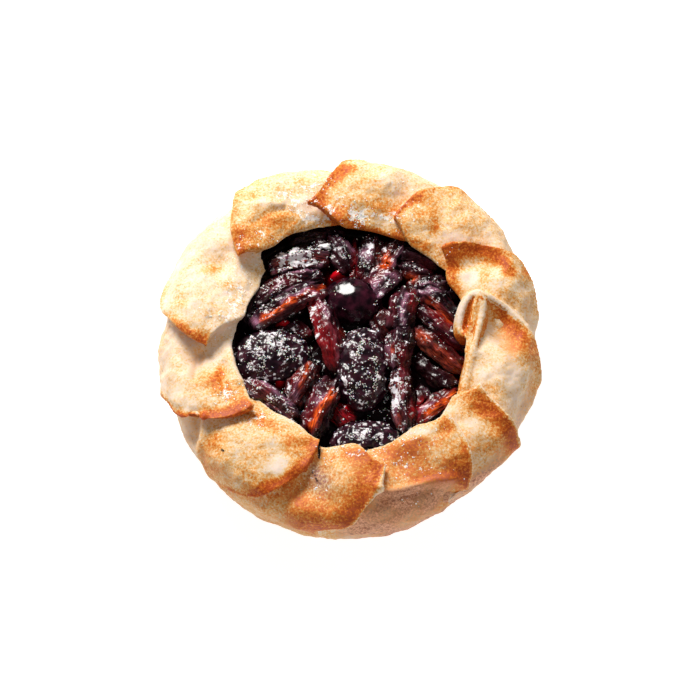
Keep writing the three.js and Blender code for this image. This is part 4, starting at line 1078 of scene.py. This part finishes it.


# Strokes in plan, from the axis: points of each, its width and its strength. Crests where the
# skin dried pale, with painted highlights along them, strips of bright orange flesh, and dark
# red ones.
PALE_CRESTS_AND_HIGHLIGHTS = [
    ([(-26.9, 16.7), (-22.2, 19.2), (-16.4, 22.1)], 0.5, 0.9),
    ([(-14.8, 21.3), (-12.1, 17.9), (-10.1, 13.7), (-9, 9.5)], 0.7, 0.55),
    ([(-31.6, 21.7), (-28.8, 23.8), (-26.1, 26.3)], 0.35, 0.6),
    ([(-28.8, 19.2), (-25.7, 21.3), (-22.6, 23.4)], 0.35, 0.6),
    ([(-20.7, 23.4), (-17.2, 25.1), (-14.4, 25.9)], 0.4, 0.5),
    ([(-26.5, 30.9), (-19.5, 30.5), (-15.6, 31.4), (-11.3, 33.9)], 0.5, 0.8),
    ([(-26.1, 35.6), (-21, 36), (-17.2, 36.8)], 0.5, 0.7),
    ([(-33.5, 33.9), (-30.4, 31.4)], 0.5, 0.5),
    ([(22.6, 19.6), (21, 15.8), (20.3, 11.2), (20.7, 7)], 0.65, 1.2),
    ([(-4.3, 44.8), (-1.6, 43.1), (0.8, 39.8)], 0.6, 0.7),
    ([(21, 41.9), (19.5, 38.5), (16.8, 33.5)], 0.5, 1),
    ([(10.5, 24.2), (8.6, 21.7), (11.7, 19.6)], 1.6, 0.8), ([(17.5, 28.4), (14.8, 28)], 0.9, 0.7),
    ([(7.8, 41.5), (5.5, 38.1), (7.8, 36)], 1.2, 0.6),
    ([(28.1, 25.1), (31.2, 25.5), (35.1, 24.6)], 0.35, 0.8),
    ([(27.3, 21.7), (30.4, 22.5), (33.9, 23.4)], 1.2, 0.7),
    ([(-37, -14), (-34.3, -15.7), (-30.4, -19.5)], 0.6, 1),
    ([(-29.6, -20.4), (-25.7, -22.9), (-23, -25)], 0.6, 0.7),
    ([(-21, -22.5), (-21.4, -19.1), (-19.9, -16.6)], 1, 0.5),
    ([(14.8, -2.3), (15.6, -6.1), (16.8, -10.7)], 0.6, 0.6),
    ([(17.2, -28.3), (17.9, -24.1), (17.5, -20.8)], 0.6, 0.7),
    ([(17.9, -32.5), (17.2, -29.6)], 0.6, 0.6), ([(-12.5, -24.6), (-10.9, -22.5)], 1.4, 0.6),
    ([(-38.2, 10.3), (-36.3, 8.7)], 1.2, 0.9), ([(37, 23.4), (35.5, 21.7)], 0.5, 0.5),
    ([(4.7, -5.2), (0, -9.4)], 0.8, 0.5), ([(25.7, -27.5), (29.6, -24.6), (32.7, -23.3)], 0.3, 0.7),
]
ORANGE_FLESH = [
    ([(-34.3, 9.7), (-31.2, 11), (-26.9, 13.9), (-22.2, 16.9)], 0.95, 1),
    ([(-22.2, 16.9), (-18.3, 19.8), (-14.8, 22.3)], 0.7, 0.6),
    ([(14, 38.3), (14.8, 34.1), (13.3, 32)], 1.5, 1), ([(23.8, 29.1), (25.4, 27.8)], 1.3, 0.7),
    ([(31.2, 18.1), (35.1, 13.9), (39.8, 8.9)], 1.1, 0.55), ([(27.3, 3.8), (30, 1.3)], 1.4, 0.7),
    ([(33.5, -2.9), (38.2, -7.1)], 1.5, 0.5), ([(38.2, -7.5), (43.7, -11.3)], 1.9, 0.35),
    ([(-16, -8), (-17.2, -13), (-19.5, -18.1)], 0.8, 0.75),
    ([(-6.6, -21), (-9.8, -24.8), (-12.5, -29), (-14.4, -34)], 1.15, 1.1),
    ([(30, -28.2), (33.5, -26.1), (37.4, -23.1), (41.3, -19.7)], 1.3, 1.1),
    ([(16.4, -3.3), (16, -6.3)], 1, 0.5), ([(17.9, -30.3), (18.3, -33.2)], 0.8, 0.6),
    ([(-2.7, 4.7), (-0.8, -2.9)], 1.2, 0.2), ([(-12.5, 22.3), (-9, 25.3)], 0.7, 0.7),
    ([(-29.3, 34.1), (-23.4, 35.4), (-17.6, 35.4)], 0.7, 0.35),
]
RED_FLESH = [
    ([(-13.3, 18.1), (-14.8, 11.8), (-13.3, 4.7), (-10.9, -0.8)], 2.3, 0.9),
    ([(-9.8, 5.5), (-7, -0.8), (-7.8, -7.1)], 2.2, 0.6),
    ([(1.6, 45.1), (2, 39.2), (1.6, 31.6)], 0.7, 1), ([(0, 29.1), (3.1, 28.2)], 1.6, 0.5),
    ([(24.6, -29), (26.5, -25.2), (28.1, -23.5)], 1.6, 1.2),
    ([(25.4, 19.4), (24.2, 14.8)], 1.6, 0.6), ([(32, 13.1), (37.4, 7.2)], 1.8, 0.5),
    ([(35.1, 3.4), (41, -1.6), (44.9, -4.6)], 1.2, 0.6),
    ([(-13.3, -21), (-15.2, -27.3), (-16.4, -32.4)], 1.4, 0.5),
    ([(-31.2, 24.4), (-23.4, 26.5)], 2.4, 0.25),
    ([(19.5, -3.8), (20.3, -12.2), (19.5, -20.6)], 1.8, 0.45),
    ([(16.8, 20.2), (14.8, 9.7)], 1.6, 0.25), ([(-21.1, -12.2), (-22.6, -17.6)], 1.4, 0.5),
    ([(-37.1, -15.5), (-31.2, -19.7)], 1, 0.6), ([(7.8, 24.4), (11.7, 28.2)], 1.6, 0.5),
    ([(33.5, 43.4), (31.2, 35)], 2, 0.3),
]
# Where the sugar lies on the fruit: the middle, the spread both ways, and how thickly.
DUSTED_FRUIT = [
    (-32, -2.1, 5.9, 5.1, 1), (-25.3, 3, 4.7, 3.4, 0.8), (-20.3, -3.3, 3.9, 5.1, 0.7),
    (-34.3, -9.2, 3.2, 3.4, 0.7), (-39.1, -0.4, 2.8, 3.8, 0.7), (5.8, -2, 4.3, 5.1, 0.95),
    (8.5, -13.7, 4.7, 6.0, 0.9), (3.9, -22.6, 3.5, 4.3, 0.8), (13.6, -21, 2.4, 3.4, 0.6),
    (13.7, -38.7, 9.5, 2.6, 1), (3.9, -40.4, 3.9, 2.1, 0.7), (24.3, -37.5, 3.2, 2.1, 0.7),
    (-23.4, 38.3, 5.5, 2.1, 0.85), (-12.5, 40, 4.7, 2.1, 0.9), (-15.6, 33.7, 5.5, 1.7, 0.8),
    (-27.3, 32.9, 3.9, 1.3, 0.6), (-6.6, 42.1, 3.2, 1.7, 0.6), (-31.2, 25.3, 5.5, 2.1, 0.15),
    (-19.5, 26.9, 3.9, 1.7, 0.2), (-25.4, 21.5, 4.7, 1.7, 0.2), (-36.7, 13.1, 2.0, 2.6, 0.5),
    (-34.3, 18.1, 3.2, 1.7, 0.3), (-14.8, 17.3, 2.0, 4.3, 0.45), (-12.4, 9.7, 2.0, 4.3, 0.4),
    (-15.6, 3, 2.0, 3.4, 0.3), (8.6, 41.3, 2.4, 2.6, 0.65), (13.7, 40, 2.0, 2.1, 0.5),
    (5.9, 34.6, 2.0, 3.8, 0.5), (16.4, 47.7, 3.2, 1.7, 0.5), (12.8, 24.8, 3.2, 3.0, 0.5),
    (11.7, 18.9, 2.8, 2.6, 0.4), (30, 24.4, 3.2, 2.1, 0.45), (26.5, 18.1, 2.4, 1.7, 0.5),
    (20.2, 15.2, 1.2, 5.1, 0.5), (17.9, -22.2, 2.0, 11.1, 0.5), (21, -12.6, 1.6, 6.8, 0.4),
    (15.2, -23.9, 1.6, 8.5, 0.35), (-36, -16.9, 2.8, 2.1, 0.55), (-29.7, -23.2, 3.5, 2.6, 0.55),
    (-23.5, -28.3, 3.5, 2.6, 0.5), (-40.7, -12.2, 1.6, 2.1, 0.45), (-24.2, -20.2, 1.6, 3.4, 0.3),
    (-11.7, -23.6, 2.4, 3.4, 0.3), (-12.5, -17.3, 1.6, 2.6, 0.3), (35.1, 5.5, 2.4, 3.4, 0.25),
    (29.2, 9.3, 2.4, 2.1, 0.25), (35.2, 35, 3.2, 1.7, 0.3), (0.8, 30.4, 2.0, 1.7, 0.3),
    (-2, 34.6, 2.0, 2.6, 0.3), (27.4, 35, 2.4, 1.3, 0.25), (-14.9, 44.8, 1.6, 1.7, 0.25),
    (32.1, -19.8, 2.4, 1.3, 0.25),
]


def painted(places_mm, table):
    """How strongly the strokes of a table mark each place."""
    total = np.zeros(len(places_mm))
    for line, width, strength in table:
        stroke = strength * np.exp(-0.5 * (line_distance(places_mm, line) / width) ** 2)
        total = np.maximum(total, stroke)
    return total


for number, row in enumerate(SLICES, 1):
    start, end, width, depth, roll, bow, (low, high), flesh_hex, dusted = row
    piece = soft_fruit(f"plum_slice_{number}", f"baked_slice_{number}")
    places = mm_from_middle(read_places(piece))
    normals = read_normals(piece)
    start, end = Vector(start), Vector(end)
    ahead = (end - start).normalized()
    left = Vector((0, 0, 1)).cross(ahead).normalized()
    turn = math.radians(roll)
    skin_way = ahead.cross(left) * math.cos(turn) + left * math.sin(turn)
    side_way = skin_way.cross(ahead)
    local = places - np.array(start)
    t = np.clip(local @ np.array(ahead) / (end - start).length, 0, 1)
    x = local @ np.array(side_way)
    y = local @ np.array(skin_way) - bow * (4 * t * (1 - t) - 0.5)
    round_deg = np.degrees(np.arctan2(x / width, y / depth))
    # Wrinkles run along the slice.
    stretched = np.stack([t * 9, round_deg / 9, np.full(len(t), number * 7.7)], 1)
    wrinkle = 1 - 2.2 * np.abs(grain(stretched, 2.0, 2, number))
    uneven = round_deg + 10 * grain(places, 5, 1, number + 40)
    flesh = smooth(uneven, low - 5, low + 5) * smooth(uneven, high + 5, high - 5)
    flesh = np.maximum(flesh, smooth(np.abs(uneven), 100, 112))
    rim_of_skin = np.exp(-0.5 * (np.minimum(np.abs(uneven - low), np.abs(uneven - high)) / 6) ** 2)
    # In millimetres: wrinkles, the skin's rim that stands up, flesh that shrank, and lumps.
    lift = 0.55 * wrinkle * (1 - 0.5 * flesh) + 0.8 * rim_of_skin - 0.7 * flesh
    lift += 0.75 * grain(places, 5.5, 3, number + 90)
    write_places(piece, read_places(piece) + normals * (lift * MM)[:, None])
    shade_smooth(piece)
    # Painted highlight: the crests of the wrinkles and the skin's rim are paler where they face up.
    crest = 0.07 * smooth(wrinkle, 0.6, 1) * smooth(normals[:, 2], 0.3, 0.9)
    crest += 0.09 * rim_of_skin * smooth(normals[:, 2], 0.2, 0.6)
    dust = smooth(normals[:, 2], 0.25, 0.8) * (0.35 * dusted + spots(places, DUSTED_FRUIT))
    for name, values in (
            ("flesh", flesh),
            ("along", t * (end - start).length + 40 * number),
            ("around", np.radians(round_deg) * 5.5),
            ("ridge", np.maximum(crest, painted(places, PALE_CRESTS_AND_HIGHLIGHTS))),
            ("orange", painted(places, ORANGE_FLESH)),
            ("red", painted(places, RED_FLESH)),
            # painted shade on the sides and undersides, darker the more they face away from the top
            ("sunk", 0.95 * smooth(normals[:, 2], 0.62, 0.05)),
            ("dust", np.clip(dust, 0, 1))):
        write_attribute(piece, name, values)
    piece.data.materials.append(plum_material(f"baked_plum_{number}", flesh_hex))
    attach(piece, "root")
    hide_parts(f"plum_slice_{number}")

# ------------------------------------------------------------------ whole plums
# Four small plums baked whole. Their skins are almost black, shrunk in fine folds round the
# fruit, and the one in the middle of the back row is still taut and shiny.

PLUMS = [(1, 0.75, 1.0), (2, 0.7, 1.0), (3, 0.22, 0.0), (4, 0.6, 1.0)]   # number, folds, dust
SHINY_PLUM = 3
# The way its facet faces, how deep it is, and what share of the bulge there it takes off.
FACET_WAY, FACET_DEEP, FACET_FLAT = np.array([-0.171, 0.184, 0.968]), 0.5 * MM, 0.75
PLUM_DARK, PLUM_PALE, SUGAR_ON_SKIN = "#14040C", "#441426", "#F6F2F8"
SKIN_ROUGH, SHINY_ROUGH = 0.28, 0.25
PLUM_DUST = 0.467                  # how thickly their tops are dusted


def plum_skin(name, roughness):
    """The skin of a plum baked whole: blue-black and waxy, with a soft shine."""
    material, tree, shader = new_material(name, IOR=1.44, Coat_Weight=0.2, Coat_Roughness=0.15)
    cloud = noise_value(tree, 3.5, 3.0)
    colour = mix_colour(tree, stretch(tree, cloud, 0.4, 0.7), linear(PLUM_DARK), linear(PLUM_PALE))
    colour = tint(tree, colour, SUGAR_FILM, attribute(tree, "dust"), 0.05)
    powder = powder_share(tree, 1.0, 3.4, attribute(tree, "dust"))
    colour = tint(tree, colour, SUGAR_ON_SKIN, powder, 0.95)
    tree.links.new(colour, shader.inputs["Base Color"])
    rough = math_node(tree, "MULTIPLY_ADD", powder, 0.5, roughness, clamp=True)
    tree.links.new(rough, shader.inputs["Roughness"])
    tree.links.new(add_bump(tree, powder, 0.5, 0.3), shader.inputs["Normal"])
    return material


for number, folds, dusted in PLUMS:
    piece = soft_fruit(f"whole_plum_{number}", f"baked_plum_whole_{number}", rounds=10, swell=0.4)
    places = mm_from_middle(read_places(piece))
    normals = read_normals(piece)
    crumple = np.abs(grain(places, 5.5, 2, number)) - 0.35
    fine = grain(places, 2.2, 2, number + 5)
    lift = folds * (-2.0 * crumple + 0.35 * fine)
    places = read_places(piece) + normals * (lift * MM)[:, None]
    if number == SHINY_PLUM:
        # Its top has sunk in a little, and mirrors the lamp from one broad facet.
        height = places @ FACET_WAY
        bulge = np.maximum(height - height.max() + FACET_DEEP, 0)
        places -= np.outer(bulge * FACET_FLAT, FACET_WAY)
    write_places(piece, places)
    shade_smooth(piece)
    upward = smooth(read_normals(piece)[:, 2], 0.2, 0.75)
    write_attribute(piece, "dust", PLUM_DUST * dusted * upward)
    roughness = SHINY_ROUGH if number == SHINY_PLUM else SKIN_ROUGH
    piece.data.materials.append(plum_skin(f"plum_skin_{number}", roughness))
    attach(piece, "root")
    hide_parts(f"whole_plum_{number}")

# ------------------------------------------------------------------ powdered sugar
# Powdered sugar shaken on through a sieve after baking: it lies in small soft clumps where it
# fell thickly, most on the heap of fruit and on the back and left of the crust.

GRAINS, GRAIN_MM, TRIES = 6000, (0.13, 0.36), 110000     # at most, and how many are tried
BARE_PLUM = (3.5, 20.5, 7.5)       # mm from the axis, and round it: no sugar fell here
SUGARED = ("pastry", "baked", "plum_jelly")     # what the pieces that it falls on are called
FALL_FROM = 60                     # mm
FLATTEST_Z, FLATTENED, SUNK_IN = 0.35, 0.6, 0.2     # steepest place it lies on, and its shape
random.seed(11)


def ground_under():
    """All shown surfaces as one tree to drop the sugar on."""
    verts, faces = [], []
    for thing in bpy.data.objects:
        if thing.type == "MESH" and thing.data.materials and thing.name.startswith(SUGARED):
            start = len(verts)
            verts.extend(v.co.copy() for v in thing.data.vertices)
            faces.extend([start + i for i in p.vertices] for p in thing.data.polygons)
    return BVHTree.FromPolygons(verts, faces)


def sugar_places():
    """Places from the axis where lumps of sugar lie: most where dusted, and in clusters."""
    draw = np.random.default_rng(11)
    turn, far = draw.uniform(0, 2 * math.pi, TRIES), 74 * np.sqrt(draw.random(TRIES))
    places = np.stack([far * np.cos(turn), far * np.sin(turn), np.full(TRIES, 4.0)], 1)
    amount = 0.5 * spots(places, DUSTED_FRUIT + DUSTED_CRUST)
    amount += np.where(far < OPENING, 0.015, 0)
    amount *= np.hypot(places[:, 0] - BARE_PLUM[0], places[:, 1] - BARE_PLUM[1]) > BARE_PLUM[2]
    clump = grain(places, 3.1, 1, 1) + 0.6 * grain(places, 1.3, 1, 2)
    return places[draw.random(TRIES) < amount * np.clip(0.15 + 1.3 * clump, 0, 1.5)]


deselect()
bpy.ops.mesh.primitive_ico_sphere_add(subdivisions=1, radius=1)
lump = bpy.context.object
lump_verts = read_places(lump)
lump_faces = [tuple(p.vertices) for p in lump.data.polygons]
bpy.data.objects.remove(lump)
ground = ground_under()
verts, faces, count = [], [], 0
for x, y, _ in sugar_places():
    above = Vector((x + MIDDLE_MM[0], y + MIDDLE_MM[1], FALL_FROM)) * MM
    hit, normal, _, _ = ground.ray_cast(above, Vector((0, 0, -1)))
    if hit is None or normal.z < FLATTEST_Z or count >= GRAINS:
        continue
    # Most grains are small.
    size = lerp(*GRAIN_MM, random.random() ** 2.2) * MM
    turn = random.uniform(0, 6.28)
    spin = Matrix.Rotation(turn, 3, [random.random() + extra for extra in (0, 0, 0.1)])
    squash = normal.to_track_quat("Z", "Y").to_matrix() @ Matrix.Diagonal((1, 1, FLATTENED))
    start = len(verts)
    for corner in lump_verts:
        jitter = random.uniform(0.75, 1.25)
        out = squash @ (spin @ Vector(corner)) * size * jitter
        verts.append(hit + normal * size * SUNK_IN + out)
    faces.extend(tuple(start + i for i in face) for face in lump_faces)
    count += 1
mesh = bpy.data.meshes.new("powdered_sugar")
mesh.from_pydata(verts, [], faces)
sugar = bpy.data.objects.new("powdered_sugar", mesh)
bpy.context.scene.collection.objects.link(sugar)

# Icing sugar: a fine white powder with no gloss, a little see-through at its edges.
icing, tree, shader = new_material("icing_sugar", Base_Color=linear("#FAF5F2"), Roughness=0.85, IOR=1.5,
                                   Subsurface_Weight=0.3, Subsurface_Scale=0.0005)
sugar.data.materials.append(icing)
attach(sugar, "root")

size = {"cad": [list(corner) for corner in cad_box], "visual": [list(corner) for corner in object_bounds()]}
